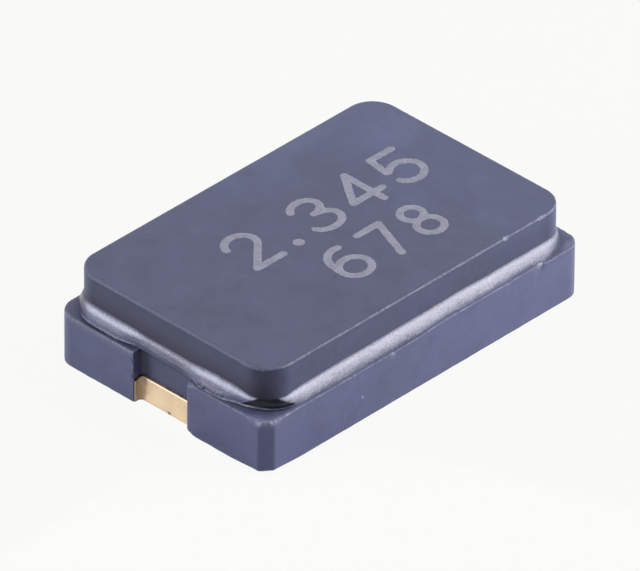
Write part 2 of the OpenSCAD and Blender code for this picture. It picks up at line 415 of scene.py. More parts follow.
class Recipe(Nodes):
    """Builds one material around a principled shader."""

    def __init__(self, name):
        self.material = bpy.data.materials.new(name)
        self.material.use_nodes = True
        super().__init__(self.material.node_tree)
        self.shader = self.node("ShaderNodeBsdfPrincipled")
        self.out = self.node("ShaderNodeOutputMaterial", {"Surface": self.shader.outputs["BSDF"]})
        self.place = self.node("ShaderNodeTexCoord").outputs["Object"]

    def set(self, **values):
        """Sets sockets of the shader by name, with _ for a space."""
        for key, value in values.items():
            self.feed(self.shader.inputs[key.replace("_", " ")], value)

    def noise(self, size, detail, rough, stretch=(1, 1, 1), shift=0.0):
        """Noise whose features measure size millimetres, from about 0.25 to 0.75."""
        place = self.node("ShaderNodeMapping", {
            "Vector": self.place, "Scale": stretch, "Location": (shift, shift * 0.7, shift * 1.3)})
        return self.node("ShaderNodeTexNoise", {
            "Vector": place.outputs["Vector"], "Scale": 1 / (size * MM),
            "Detail": detail, "Roughness": rough}).outputs["Fac"]

    def attribute(self, name):
        """A number stored on the mesh."""
        return self.node("ShaderNodeAttribute", attribute_name=name).outputs["Fac"]

    def ranged(self, value, low, high, to_low=0.0, to_high=1.0):
        """A number moved from one range to another by a smooth step, and held at its ends."""
        return self.node("ShaderNodeMapRange", {
            "Value": value, "From Min": low, "From Max": high, "To Min": to_low, "To Max": to_high},
            interpolation_type="SMOOTHSTEP").outputs["Result"]

    def blend(self, factor, a, b):
        """A mix of two colours."""
        made = self.node("ShaderNodeMix", {"Factor": factor}, data_type="RGBA")
        for socket, value in ((made.inputs[6], a), (made.inputs[7], b)):
            self.feed(socket, value if isinstance(value, bpy.types.NodeSocket) else (*value, 1.0))
        return made.outputs[2]

    def veil(self, tone, value, low, high, amount, over):
        """A colour with another laid over it as a number goes from low to high, up to an amount."""
        return self.blend(self.ranged(value, low, high, 0.0, amount), tone, over)

    def bump(self, height, depth):
        """A bump of a given depth in millimetres."""
        return self.node("ShaderNodeBump", {
            "Height": height, "Distance": depth * MM, "Strength": 1.0}).outputs["Normal"]

    def blotch(self, x, y, z, reach):
        """1 at a place given in millimetres, falling to 0 at a distance of reach millimetres."""
        away = self.node("ShaderNodeVectorMath", {
            0: self.place, 1: (x * MM, y * MM, z * MM)}, operation="DISTANCE").outputs["Value"]
        return self.ranged(away, 0.0, reach * MM, 1.0, 0.0)


def shade(colour, factor, tint=(1, 1, 1)):
    """A colour made lighter or darker, and tinted."""
    return tuple(min(1.0, c * factor * t) for c, t in zip(colour, tint))


def ceramic_material(name, colour, seed, film, worn_lit_colour, specks=(), smudges=()):
    """Sintered ceramic: fine grain, soft clouds of two tints, smudges, pale specks, painted light and shade,
    and worn edges with a painted highlight.
    """
    r = Recipe(name)
    cloud = r.noise(0.9, 4.0, 0.55, shift=seed)
    blot = r.noise(0.3, 3.0, 0.5, shift=seed + 0.04)
    mottle = r.noise(0.14, 4.0, 0.6, shift=seed + 0.01)
    grain = r.noise(0.022, 3.0, 0.7, shift=seed + 0.02)
    worn_grain = r.noise(0.035, 3.0, 0.65, shift=seed + 0.03)
    cool = shade(colour, 0.97, (0.96, 1.03, 0.97))
    warm = shade(colour, 1.05, (1.0, 0.99, 1.02))
    tone = r.blend(r.ranged(cloud, 0.38, 0.64), cool, warm)
    tone = r.veil(tone, mottle, 0.35, 0.7, 0.5, shade(colour, 1.14, (0.96, 0.99, 1.04)))
    tone = r.veil(tone, blot, 0.54, 0.68, 0.5, shade(colour, 1.22, (0.97, 1.0, 1.02)))
    tone = r.veil(tone, blot, 0.46, 0.34, 0.5, shade(colour, 0.84, (0.98, 0.98, 1.04)))
    for x, y, z, reach in smudges:
        smudge = r.times(r.blotch(x, y, z, reach), r.ranged(blot, 0.38, 0.62, 0.35, 1.0))
        tone = r.blend(smudge, tone, shade(colour, 1.4, (0.93, 0.99, 1.03)))
    # Painted light, in the tint given as film, and painted shade toward near black
    tone = r.blend(r.attribute("painted_light"), tone, shade(colour, 1.75, film))
    tone = r.blend(r.times(r.attribute("painted_shade"), 0.5), tone, shade(colour, 0.2))
    tone = r.veil(tone, grain, 0.62, 0.8, 0.5, shade(colour, 1.5))
    tone = r.veil(tone, grain, 0.36, 0.22, 0.6, shade(colour, 0.6))
    # Worn edges in a paler colour, which is also a painted highlight along them
    worn = r.times(r.attribute("wear_and_highlight"), r.ranged(worn_grain, 0.36, 0.60, 0.3, 1.0))
    tone = r.blend(worn, tone, worn_lit_colour)
    for x, y, z, reach, light in specks:
        speck = r.times(r.blotch(x, y, z, reach), r.ranged(worn_grain, 0.38, 0.55, 0.35, 0.95))
        tone = r.blend(speck, tone, shade(SPECK_COLOUR, light))
    r.set(Base_Color=tone, Roughness=r.ranged(mottle, 0.3, 0.7, 0.46, 0.52), IOR=1.4)
    r.set(Sheen_Weight=0.18, Sheen_Roughness=0.35, Sheen_Tint=(1.0, 0.97, 1.0, 1.0))
    r.set(Normal=r.bump(r.times(grain, 0.55, r.times(mottle, 0.6)), 0.006))
    return r.material


def glass_material(name, pale, dark, ground):
    """Fired sealing glass: streaked, with painted light and shade that leave it pale above and darker at its
    foot, a painted highlight, a painted black reflection, grit and a thin upper edge.
    """
    r = Recipe(name)
    streak = r.noise(0.045, 3.0, 0.6, stretch=(0.22, 0.22, 1.0))
    hair = r.noise(0.016, 2.0, 0.6, stretch=(1.0, 1.0, 0.5), shift=0.01)
    cloud = r.noise(0.35, 3.0, 0.5, shift=0.03)
    grit = r.noise(0.018, 2.0, 0.6, shift=0.05)
    clear = r.attribute("clear")
    bluish = r.attribute("bluish")
    # The pale attribute is painted light and shade on the glass
    level = r.maths("ADD", r.attribute("pale"), r.times(streak, 0.7, -0.35))
    level = r.maths("ADD", level, r.times(grit, 0.8, -0.42))
    # The end with the near notch is a little bluer
    low = r.blend(bluish, dark, shade(dark, 1.0, (0.95, 0.95, 1.2)))
    high = r.blend(bluish, pale, shade(pale, 1.0, (0.98, 0.98, 1.12)))
    tone = r.blend(r.ranged(level, 0.1, 0.9), low, high)
    # Light clouds and grit are strongest where the painted light is
    lit = r.times(r.attribute("pale"), 0.75, 0.25)
    pale_clouds = r.times(r.ranged(cloud, 0.35, 0.65, 0.0, 0.3), lit)
    tone = r.blend(pale_clouds, tone, shade(pale, 1.1))
    # A painted highlight where the glass is brightest
    painted_highlight = r.times(r.attribute("painted_highlight"), r.ranged(grit, 0.34, 0.58, 0.68, 1.0))
    tone = r.blend(painted_highlight, tone, shade(pale, 1.66, (1.0, 1.0, 1.12)))
    pale_grit = r.times(r.ranged(grit, 0.53, 0.74, 0.0, 0.75), lit)
    tone = r.blend(pale_grit, tone, shade(pale, 1.5))
    tone = r.veil(tone, grit, 0.42, 0.26, 0.4, dark)
    # Where the glass is thin the ground shows instead, and where it is marked clear a painted black
    # reflection
    fade = r.maths("ADD", r.attribute("fade"), r.times(hair, 0.9, -0.45))
    thin = r.ranged(fade, 0.15, 0.85)
    tone = r.blend(thin, tone, ground)
    tone = r.blend(clear, tone, REFLECTED_BLACK)
    rough = r.ranged(cloud, 0.3, 0.7, 0.28, 0.40)
    rough = r.times(clear, -0.14, rough)
    rough = r.times(thin, 0.2, rough)
    r.set(Base_Color=tone, Roughness=rough, IOR=1.7)
    shine = r.times(clear, -0.32, 0.5)
    r.set(Specular_IOR_Level=r.times(r.attribute("matt"), -0.4, shine))
    height = r.times(r.times(streak, 0.8, grit), r.maths("SUBTRACT", 1.0, clear))
    r.set(Normal=r.bump(height, 0.008))
    return r.material


def gold_material(name, colour):
    """Thin gold over rough metal: satin, duller with painted shade on the notch's sides, with a pale glint,
    dark stains and a painted shadow.
    """
    r = Recipe(name)
    cloud = r.noise(0.22, 4.0, 0.6)
    grain = r.noise(0.016, 3.0, 0.7, shift=0.02)
    tarnish = r.noise(0.035, 3.0, 0.6, shift=0.07)
    tone = r.blend(r.ranged(cloud, 0.35, 0.65), shade(colour, 0.94), shade(colour, 1.06))
    tone = r.veil(tone, grain, 0.42, 0.24, 0.5, shade(colour, 0.66, (1.0, 0.92, 0.86)))
    tone = r.veil(tone, tarnish, 0.56, 0.74, 0.5, shade(colour, 0.74, (1.0, 0.93, 0.9)))
    # Duller on the side walls: painted shade in the colour, and less metal
    tone = r.blend(r.attribute("dull_and_shaded"), tone, shade(colour, 0.74, (1.0, 0.94, 0.90)))
    tone = r.blend(r.attribute("glint"), tone, (0.86, 0.80, 0.72))
    # A heavy stain is broken by gaps
    stain_and_shadow = r.attribute("stain_and_shadow")
    gaps = r.times(r.ranged(stain_and_shadow, 0.5, 0.8), r.ranged(tarnish, 0.58, 0.36, 0.0, 0.6))
    stain_and_shadow = r.times(stain_and_shadow, r.maths("SUBTRACT", 1.0, gaps))
    tone = r.blend(stain_and_shadow, tone, (0.11, 0.065, 0.04))
    shine = r.times(r.attribute("dull_and_shaded"), -0.8, 1.0)
    metal = r.times(r.ranged(stain_and_shadow, 0.1, 0.85, 0.95, 0.2), shine)
    rough = r.times(r.attribute("glint"), 0.6, r.ranged(cloud, 0.3, 0.7, 0.36, 0.46))
    r.set(Base_Color=tone, Metallic=metal, Roughness=rough)
    r.set(Normal=r.bump(r.times(grain, 0.6, cloud), 0.004))
    return r.material


def marking_material(name, colour, ground):
    """Lasered digits: pale and grainy, with the ground showing through in fine specks."""
    r = Recipe(name)
    grain = r.noise(0.02, 3.0, 0.65)
    patch = r.noise(0.12, 3.0, 0.5, shift=0.02)
    tone = r.blend(r.ranged(patch, 0.32, 0.68), shade(colour, 0.9), shade(colour, 1.1))
    tone = r.veil(tone, grain, 0.44, 0.3, 0.65, ground)
    tone = r.veil(tone, grain, 0.6, 0.75, 0.7, shade(colour, 1.35))
    r.set(Base_Color=tone, Roughness=0.6, IOR=1.5)
    r.set(Normal=r.bump(grain, 0.004))
    return r.material


def carried_material(name, colour, metallic, roughness, size, depth):
    """Printed or fired material of a hidden piece: mottled, grainy and slightly rough."""
    r = Recipe(name)
    mottle = r.noise(size, 4.0, 0.6)
    grain = r.noise(size / 6, 3.0, 0.7, shift=0.02)
    tone = r.blend(r.ranged(mottle, 0.35, 0.65), shade(colour, 0.88), shade(colour, 1.1))
    tone = r.veil(tone, grain, 0.38, 0.24, 0.6, shade(colour, 0.6))
    rough = r.ranged(mottle, 0.3, 0.7, roughness - 0.06, roughness + 0.06)
    r.set(Base_Color=tone, Metallic=metallic, Roughness=rough)
    r.set(Normal=r.bump(r.times(grain, 0.5, mottle), depth))
    return r.material


def quartz_material(name):
    """Lapped quartz: clear body with a finely frosted skin and faint lapping marks."""
    r = Recipe(name)
    frost = r.noise(0.03, 3.0, 0.6)
    lap = r.noise(0.5, 2.0, 0.5, stretch=(1.0, 8.0, 1.0), shift=0.03)
    tone = r.blend(r.ranged(lap, 0.4, 0.6), (0.84, 0.90, 0.93), (0.93, 0.96, 0.98))
    rough = r.ranged(frost, 0.35, 0.65, 0.12, 0.28)
    r.set(Base_Color=tone, Roughness=rough, IOR=1.54, Transmission_Weight=0.85)
    r.set(Normal=r.bump(frost, 0.002))
    return r.material


# Pieces

# Shares and weights in the formulas of this part were chosen to give it worn marks, painted light and
# painted shade as in the photograph

def wear_and_chips(points, seed, edge, chip_depth):
    """Radius of a worn edge at each point: small waves in its size, and chips where noise peaks."""
    wave = ripple(points, 0.35, seed, 3)
    chips = smooth(ripple(points, 0.5, seed + 1, 2), 0.95, 1.7)
    chips *= smooth(ripple(points, 0.07, seed + 2, 2), -0.2, 0.9)
    tiny = smooth(ripple(points, 0.045, seed + 3, 2), 0.3, 1.5)
    return edge * (1 + 0.18 * wave + 0.45 * tiny) + chip_depth * chips


def chip(points, x, y, reach):
    """1 at a place on an edge, falling to 0 at a distance of reach."""
    return near(points, (x, y), reach, 0.2 * reach)


def edge_rings(points, normals, top, radius, steps):
    """Rings of a quarter round from the side to the top, whose radius may differ from point to point."""
    rings = []
    for angle in np.linspace(0, np.pi / 2, steps):
        inset = radius * (1 - np.cos(angle))
        height = top - radius * (1 - np.sin(angle))
        rings.append(ring(points - normals * inset[:, None], height))
    return rings


def lower_edge_rings(points, normals, bottom, radius, steps):
    """The same quarter round upside down, from the bottom up to the side."""
    rings = edge_rings(points, normals, -bottom, radius, steps)[::-1]
    return [points_of_ring * np.array([1, 1, -1]) for points_of_ring in rings]


# The lid

# Points on each straight run and on each arc of the lid's outline
LID_COUNTS = [320, 180, 320, 180]
LID_ARC = 40
# The lid's top lies a little under the CAD lid's, and the digits stand between the two
LID_TOP = LID_HIGH[2] - 0.002
# Half the length, half the width and the corner radius of the hollow, and the height of its ceiling
HOLLOW = (1.96, 1.10, 0.20)
LID_CEILING = 0.945
LID_RIM_ROUND = 0.012
# Tint of the painted light on the lid, and colour of its worn edges, which also carry a painted highlight
LID_LIGHT_TINT = (0.95, 1.01, 1.03)
LID_WORN_LIT = (0.215, 0.215, 0.305)
# Pale specks on the front edge: x, y, reach and lightness
LID_SPECKS = [(1.35, -1.490, 0.038, 0.95), (1.39, -1.494, 0.034, 0.9), (1.88, -1.496, 0.028, 0.85),
              (1.925, -1.490, 0.034, 0.85), (1.97, -1.496, 0.024, 0.8)]
LID_SPECK_HEIGHT = LID_TOP - 0.008
# Smudges on the top: x, y and reach
LID_SMUDGES = [(1.55, -1.05, 0.34), (1.05, -0.35, 0.35), (1.9, 0.9, 0.6)]


def lid_outline(c, counts, arc_points, inset=0.0):
    """Outline of the lid's side, or of a line at an inset from it."""
    half_l = LID_HIGH[0] - inset
    half_w = LID_HIGH[1] - inset
    return rectangle(half_l, half_w, c.lid_corner - inset, counts, arc_points)


def lid_painted_light(points):
    """Painted light on the lid's top: lighter toward its back right, in soft clouds."""
    x, y, z = np.moveaxis(points, -1, 0)
    slope = smooth(0.32 * x + 0.55 * y, -0.3, 1.6)
    clouds = smooth(ripple(points[..., :2], 0.9, 21, 3), -0.3, 1.3)
    back_edge = smooth(y, 1.0, 1.5) * smooth(x, -1.5, 2.3)
    right_end = smooth(x, 0.7, 1.7)
    film = 0.46 * slope * (0.3 + 0.7 * clouds) + 0.20 * back_edge + 0.04 * clouds + 0.16 * right_end
    return film * (z > LID_HIGH[2] - 0.1)


def at_near_end(normals):
    """1 where the lid's side faces -X, the short end with the near notch."""
    return smooth(-normals[:, 0], 0.3, 0.9)


def lid_edge_radius(side, normals, c):
    """Radius of the lid's worn edge: chipped, more even at the near end and on the two far sides."""
    edge = wear_and_chips(ring(side, LID_TOP), 11, c.lid_edge, c.chip_depth)
    edge += c.chip_depth * (1.2 * chip(side, 1.37, -1.5, 0.050) + 0.9 * chip(side, 1.92, -1.5, 0.075))
    far_sides = smooth(normals.sum(1), 0.2, 0.7)
    edge += (c.lid_edge - edge) * 0.9 * far_sides
    end = at_near_end(normals)
    return np.minimum(edge * (1 - 0.5 * end) + 0.025 * end, 0.046)


def lid_rings(side, normals, c):
    """Rings from the lid's ceiling down the hollow, under the rim, up the side, over the edge and in.

    It also gives the numbers of the rounded edge's first ring and of the first one past it.
    """
    bottom = LID_LOW[2]
    hollow, _ = rectangle(*HOLLOW, LID_COUNTS, LID_ARC)
    rings = [ring(spine(hollow, HOLLOW[0], HOLLOW[1]), LID_CEILING)]
    rings.append(ring(hollow * 0.98, LID_CEILING))
    rings.append(ring(hollow, LID_CEILING))
    rings.append(ring(hollow, bottom))
    rings.append(ring(side - normals * 0.02, bottom))
    rings += lower_edge_rings(side, normals, bottom, np.full(len(side), LID_RIM_ROUND), 4)
    rings.append(ring(side, bottom + 0.02))
    for share in np.linspace(0.1, 0.95, 7):
        rings.append(ring(side, bottom + (LID_TOP - bottom - 0.06) * share + 0.01))
    edge_from = len(rings)
    rings += edge_rings(side, normals, LID_TOP, lid_edge_radius(side, normals, c), 8)
    edge_to = len(rings)
    for inset in (0.055, 0.09, 0.15):
        rings.append(ring(lid_outline(c, LID_COUNTS, LID_ARC, inset)[0], LID_TOP))
    middle = spine(side, LID_HIGH[0], LID_HIGH[1])
    for share in np.linspace(0.2, 1.0, 15):
        rings.append(ring(side + (middle - side) * share, LID_TOP))
    return np.array(rings), edge_from, edge_to


def lid_marks(rings, normals, edge_from, edge_to):
    """Worn edge with a painted highlight, painted shade on the side, most at the near end and front corner,
    and painted light.
    """
    end = at_near_end(normals)
    side = slice(0, edge_from + 1)
    edge = slice(edge_from, edge_to)
    hump = crown(edge_to - edge_from)
    # Worn marks on the edge's crown, which are also a painted highlight
    wear_and_highlight = np.zeros(rings.shape[:2])
    wear_and_highlight[edge] = hump ** 0.7
    wear_and_highlight *= 1 - 0.6 * end
    # Painted shade on the side: darker at the near end, at the front corner and low down over the bead
    painted_shade = np.zeros(rings.shape[:2])
    painted_shade[side] = 0.08 + 0.52 * end * smooth(normals[:, 1], 0.75, 0.1)
    painted_shade[side] += 0.56 * smooth(-normals.sum(1) / np.sqrt(2), 0.82, 1.0)
    painted_shade[side] += 0.66 * end * smooth(rings[side, :, 2], 1.05, 0.88)
    # Painted light on the top, and a painted highlight at the side's back left corner and along the near
    # end's edge
    painted_light = lid_painted_light(rings)
    painted_light[:edge_from] += 0.12 * smooth((normals[:, 1] - normals[:, 0]) / np.sqrt(2), 0.80, 0.95)
    painted_light[edge] += 0.55 * end * hump
    return {"wear_and_highlight": wear_and_highlight, "painted_shade": painted_shade, "painted_light": painted_light}


class CRYSTAL_OT_lid(bpy.types.Operator):
    """Build the ceramic lid with its hollow, soft edges and small chips"""
    bl_idname = "crystal.lid"
    bl_label = "Lid"

    def execute(self, context):
        c = context.scene.crystal_ceramic
        side, normals = lid_outline(c, LID_COUNTS, LID_ARC)
        rings, edge_from, edge_to = lid_rings(side, normals, c)
        lid = carried("lid_shell", rings, lid_marks(rings, normals, edge_from, edge_to))
        specks = [(x, y, LID_SPECK_HEIGHT, reach, light) for x, y, reach, light in LID_SPECKS]
        smudges = [(x, y, LID_TOP, reach) for x, y, reach in LID_SMUDGES]
        ceramic = ceramic_material("dark_ceramic_lid", c.colour, 0.1, LID_LIGHT_TINT, LID_WORN_LIT, specks, smudges)
        finish_piece(lid, ceramic, "dark_ceramic", "ceramic_lid")
        return {"FINISHED"}


# The base

# Points on each straight run of the base's outline, from the bevel on, and on each arc
BASE_COUNTS = [14, 420, 84, 6, 40, 6, 84, 380, 110, 8, 70, 4, 100]
BASE_ARC = 9
# Half the length, half the width and the corner radius of the cavity
CAVITY = (1.95, 1.05, 0.20)
# The near notch's front mouth is narrower by this, and rounded
MOUTH_SHIFT = 0.026
# Places that wear is measured from: the bevelled corner, the bevel's middle and the notch's front mouth
BASE_CORNER = (BASE_LOW[0], BASE_LOW[1])
BEVEL_MIDDLE = (BASE_LOW[0] + 0.05, BASE_LOW[1] + 0.05)
NOTCH_MOUTH = (BASE_LOW[0], -0.40)
# The upright edge at the back of the near notch
NOTCH_BACK = (BASE_LOW[0], 0.41)
# Single chips on the top edge: x, y and reach
BASE_CHIPS = [(-0.51, -1.6, 0.05), (-2.5, -1.49, 0.05), (-2.375, -1.6, 0.04)]
# Pale specks: x, y, z, reach and lightness
BASE_SPECKS = [(-0.99, -1.6, 0.305, 0.022, 1.0), (-1.0, -1.6, 0.32, 0.015, 1.0),
               (-2.495, -1.485, 0.658, 0.06, 1.35), (-2.37, -1.595, 0.658, 0.055, 1.3),
               (-0.51, -1.595, 0.655, 0.04, 0.8)]
# Tint of the painted light on the base, and colour of its worn edges, which also carry a painted highlight
BASE_LIGHT_TINT = (1.05, 1.0, 0.93)
BASE_WORN_LIT = (0.262, 0.265, 0.37)
# The drop of glass that hangs over the front edge, and the dent under it
DROP_X = 1.795


def lid_distance(points, c):
    """Distance from the lid's rounded outline: over its corners' centres, less the corner radius."""
    over_x = np.abs(points[..., 0]) - (LID_HIGH[0] - c.lid_corner)
    over_y = np.abs(points[..., 1]) - (LID_HIGH[1] - c.lid_corner)
    return np.hypot(np.maximum(over_x, 0), np.maximum(over_y, 0)) - c.lid_corner


def base_outline(c, p, notch_depth):
    """Outline of the base from its bevelled corner, anticlockwise, with a notch in each short end.

    The bevel is a short straight run between two soft corners. At -X the notch's back edge is crisp
    and its front edge rounded.
    """
    x, y = BASE_HIGH[0], BASE_HIGH[1]
    cut_x = c.bevel_width * 0.78
    cut_y = c.bevel_width * 0.61
    half = p.notch_width / 2
    mouth = half - MOUTH_SHIFT
    corners = [
        (-x, -y + cut_y), (-x + cut_x, -y), (x, -y),
        (x, -half), (x - notch_depth, -half), (x - notch_depth, half), (x, half),
        (x, y), (-x, y),
        (-x, half), (-x + notch_depth, half), (-x + notch_depth, -mouth), (-x, -mouth),
    ]
    soft = 0.075
    inner = p.inner_corner
    radii = [
        soft, soft, c.base_corner,
        0.02, inner, inner, 0.02,
        c.base_corner, c.base_corner,
        0.008, inner, 0.055, 0.06,
    ]
    return filleted(corners, radii, BASE_COUNTS, BASE_ARC)


def cavity_outline(outline):
    """For each point of the base's outline, a point of the cavity's, in the same order around.

    The cavity is a rounded rectangle with long, even runs. A point of the outline goes to the point
    of the cavity's outline that lies in the same direction from the middle.
    """
    even, _ = rectangle(*CAVITY, [200, 100, 200, 100], 16)
    even = np.concatenate([even, even[:1]])
    target = np.unwrap(np.arctan2(even[:, 1], even[:, 0]))
    wanted = np.unwrap(np.arctan2(outline[:, 1], outline[:, 0]))
    wanted = np.maximum.accumulate(wanted + np.arange(len(wanted)) * 1e-7)
    wanted -= 2 * np.pi * np.round((wanted[0] - target[0]) / (2 * np.pi))
    span = np.concatenate([target[:-1] - 2 * np.pi, target[:-1], target + 2 * np.pi])
    x = np.concatenate([even[:-1, 0], even[:-1, 0], even[:, 0]])
    y = np.concatenate([even[:-1, 1], even[:-1, 1], even[:, 1]])
    return np.stack([np.interp(wanted, span, x), np.interp(wanted, span, y)], 1)


def base_edge_radius(wall, c):
    """Radius of the base's worn top edge: chipped, and rounder at the bevel and at the notch's mouth."""
    edge = wear_and_chips(ring(wall, BASE_HIGH[2]), 31, c.base_edge, c.chip_depth)
    edge = edge * (1 + 1.2 * near(wall, BEVEL_MIDDLE, 0.40, 0.05))
    edge += 0.05 * near(wall, NOTCH_MOUTH, 0.14, 0.02)
    for x, y, reach in BASE_CHIPS:
        edge += c.chip_depth * chip(wall, x, y, reach)
    return edge


def base_foot_radius(sheet):
    """Radius of the base's lower edge: small, and rounder under the bevel and under the notch's mouth."""
    foot = 0.008 * (1 + 0.3 * ripple(ring(sheet, FOOT), 0.2, 33, 2))
    foot += 0.036 * near(sheet, BEVEL_MIDDLE, 0.55, 0.05)
    foot += 0.045 * near(sheet, NOTCH_MOUTH, 0.14, 0.02)
    return foot


def base_rings(wall, normals, c, p):
    """Rings from the middle of the underside out, up the sheet and the wall, over the edge, along the
    ledge and down into the cavity.

    It also gives the numbers of the rounded edge's first ring, of the ledge's, and of the first one
    past the ledge.
    """
    top = BASE_HIGH[2]
    sheet, sheet_normals = base_outline(c, p, p.sheet_depth)
    foot = base_foot_radius(sheet)
    edge = base_edge_radius(wall, c)
    cavity = cavity_outline(wall)
    middle = np.zeros_like(cavity)
    rings = [ring(middle, FOOT), ring(cavity * 0.6, FOOT), ring(cavity, FOOT)]
    rings.append(ring(sheet - sheet_normals * (foot + 0.012)[:, None], FOOT))
    rings += lower_edge_rings(sheet, sheet_normals, FOOT, foot, 6)
    for z in np.linspace(FOOT + 0.07, SHEET_TOP - 0.012, 4):
        rings.append(ring(sheet, z))
    rings.append(ring(sheet, SHEET_TOP))
    rings.append(ring(wall, SHEET_TOP))
    for z in np.linspace(SHEET_TOP + 0.012, top - 0.09, 14):
        rings.append(ring(wall, z))
    edge_from = len(rings)
    rings += edge_rings(wall, normals, top, edge, 6)
    ledge_from = len(rings)
    flat = wall - normals * (edge + 0.006)[:, None]
    for share in (0.0, 0.03, 0.06, 0.09, 0.12, 0.16, 0.2, 0.3):
        rings.append(ring(flat + (cavity - flat) * share, top))
    ledge_to = len(rings)
    rings += [ring(cavity, top), ring(cavity, SHEET_TOP)]
    rings += [ring(cavity * 0.6, SHEET_TOP), ring(middle, SHEET_TOP)]
    return np.array(rings), edge_from, ledge_from, ledge_to


def knock_base(rings, wall):
    """Moves the base's rings where its edges are broken, raised, lowered or dented."""
    top = BASE_HIGH[2]
    x, y, z = np.moveaxis(rings, -1, 0)
    # The upright edge at the back of the near notch is broken by small chips
    broken = chip(wall, *NOTCH_BACK, 0.035)
    broken = broken * smooth(ripple(rings, 0.055, 37, 2), -0.3, 1.0) * (z > SHEET_TOP) * (z < top)
    rings[..., :2] += 0.014 * broken[..., None] * np.array([1.0, 0.8])
    # The front edge stands a little higher along its right half
    crest = band(x, -0.15, 0.25, 1.75, 1.95) * smooth(y, -1.42, -1.52)
    rings[..., 2] += 0.026 * crest * smooth(z, 0.45, top)
    # It is a little lower behind the near notch, and dented where the drop of glass hangs over it
    low = smooth(x, -2.25, -2.40) * smooth(y, 0.40, 0.46)
    rings[..., 2] -= 0.011 * low * smooth(z, 0.45, top)
    rings[..., 1] += 0.030 * chip(wall, DROP_X, BASE_LOW[1], 0.095) * smooth(z, 0.60, 0.63) * (z < 0.7)


def base_wear_and_highlight(rings, wall, in_notch, edge_from, ledge_from):
    """Worn marks on the base's top edge, also a painted highlight: less at the notch's mouth, more at its
    back, the bevel and a chip.
    """
    x, y = wall[:, 0], wall[:, 1]
    wear_and_highlight = np.zeros(rings.shape[:2])
    wear_and_highlight[edge_from:ledge_from] = crown(ledge_from - edge_from) ** 0.7
    wear_and_highlight[ledge_from] = 0.75
    worn = wear_and_highlight[edge_from:ledge_from + 1]
    worn *= 1 - 0.5 * near(wall, NOTCH_MOUTH, 0.14, 0.02)
    worn *= 0.45 + 0.55 * smooth(ripple(ring(wall, BASE_HIGH[2]), 0.15, 35, 3), -0.6, 0.6)
    worn += 0.5 * smooth(x, -2.44, -2.49) * smooth(y, 0.38, 0.42)
    worn += 0.5 * near(wall, BEVEL_MIDDLE, 0.40, 0.05) + 0.5 * chip(wall, -0.51, -1.6, 0.06)
    worn *= 1 - 0.9 * in_notch
    return np.minimum(wear_and_highlight, 1)


def base_painted_light(rings, wall, normals, ledge_from):
    """Painted light on the base: along its front, on the outer part of the ledge and about the bevel."""
    x, y = wall[:, 0], wall[:, 1]
    painted_light = 0.21 * smooth(rings[..., 0], -1.5, 2.5) * smooth(rings[..., 1], -1.15, -1.45)
    # Painted light on the ledge's outer part, strongest along the front beside the bead
    painted_light[ledge_from:ledge_from + 4] += 0.06 + 0.9 * smooth(y, -1.5, -1.57) * smooth(x, -2.2, -1.9)
    # Painted light about the front corner, but not on the bevel's facet
    facet = smooth(-normals.sum(1) / np.sqrt(2), 0.86, 0.97)
    return painted_light + 0.25 * near(wall, BASE_CORNER, 1.5, 0.3) * (1 - facet)


def base_painted_shade(rings, wall, in_notch, edge_from, ledge_from, ledge_to, c):
    """Painted shade in the notches, and painted shadow in the gap beside the bead, most at the near short
    end.
    """
    x, y = wall[:, 0], wall[:, 1]
    # Painted shade in the notches, darkest in an uneven line just over the gold
    smear = 0.5 + 0.5 * ripple(rings, 0.12, 39, 3)
    at_gold = smooth(rings[..., 2], 0.345, 0.305)
    painted_shade = in_notch * (0.72 + 0.45 * smooth(y, 0.20, 0.34) + 1.2 * smear * at_gold)
    # Painted shadow in the gap between the bead and the base's edge, at the near end and at the far front
    # corner
    gap_shade = 0.70 * smooth(x, -1.9, -2.3)
    gap_shade *= 1 - 0.9 * band(y, -1.35, -1.1, -0.5, -0.38)
    gap_shade *= 1 - 0.85 * band(y, 0.30, 0.45, 0.80, 1.00)
    gap_shade += 0.6 * smooth(x, 1.85, 2.0) * smooth(y, -1.2, -1.4)
    wide = 0.033 * band(y, 0.35, 0.45, 1.0, 1.4)
    gap = lid_distance(rings[ledge_from:ledge_to], c)
    painted_shade[ledge_from:ledge_to] = gap_shade * smooth(gap - wide, 0.135, 0.085)
    # Painted shade on the edge and the ledge inside the notches
    painted_shade[edge_from:ledge_to] += 0.8 * in_notch
    return painted_shade


class CRYSTAL_OT_base(bpy.types.Operator):
    """Build the ceramic tub with its notches, bevelled corner, cavity and chipped edges"""
    bl_idname = "crystal.base"
    bl_label = "Base"

    def execute(self, context):
        c = context.scene.crystal_ceramic
        p = context.scene.crystal_plating
        wall, normals = base_outline(c, p, p.wall_depth)
        rings, edge_from, ledge_from, ledge_to = base_rings(wall, normals, c, p)
        knock_base(rings, wall)
        in_notch = smooth(np.abs(wall[:, 0]), 2.47, 2.44) * (np.abs(wall[:, 1]) < p.notch_width / 2)
        marks = {
            "wear_and_highlight": base_wear_and_highlight(rings, wall, in_notch, edge_from, ledge_from),
            "painted_shade": base_painted_shade(rings, wall, in_notch, edge_from, ledge_from, ledge_to, c),
            "painted_light": base_painted_light(rings, wall, normals, ledge_from),
        }
        base = carried("base_tub", rings, marks)
        # Painted light: the base's ceramic is drawn 1.4 times lighter than the lid's
        colour = shade(c.colour, 1.40)
        ceramic = ceramic_material("dark_ceramic_base_lit", colour, 0.4, BASE_LIGHT_TINT, BASE_WORN_LIT, BASE_SPECKS)
        finish_piece(base, ceramic, "dark_ceramic", "ceramic_base")
        return {"FINISHED"}


# The sealing glass

# Points on each straight run and on each arc of the bead
BEAD_COUNTS = [420, 240, 420, 240]
BEAD_ARC = 48
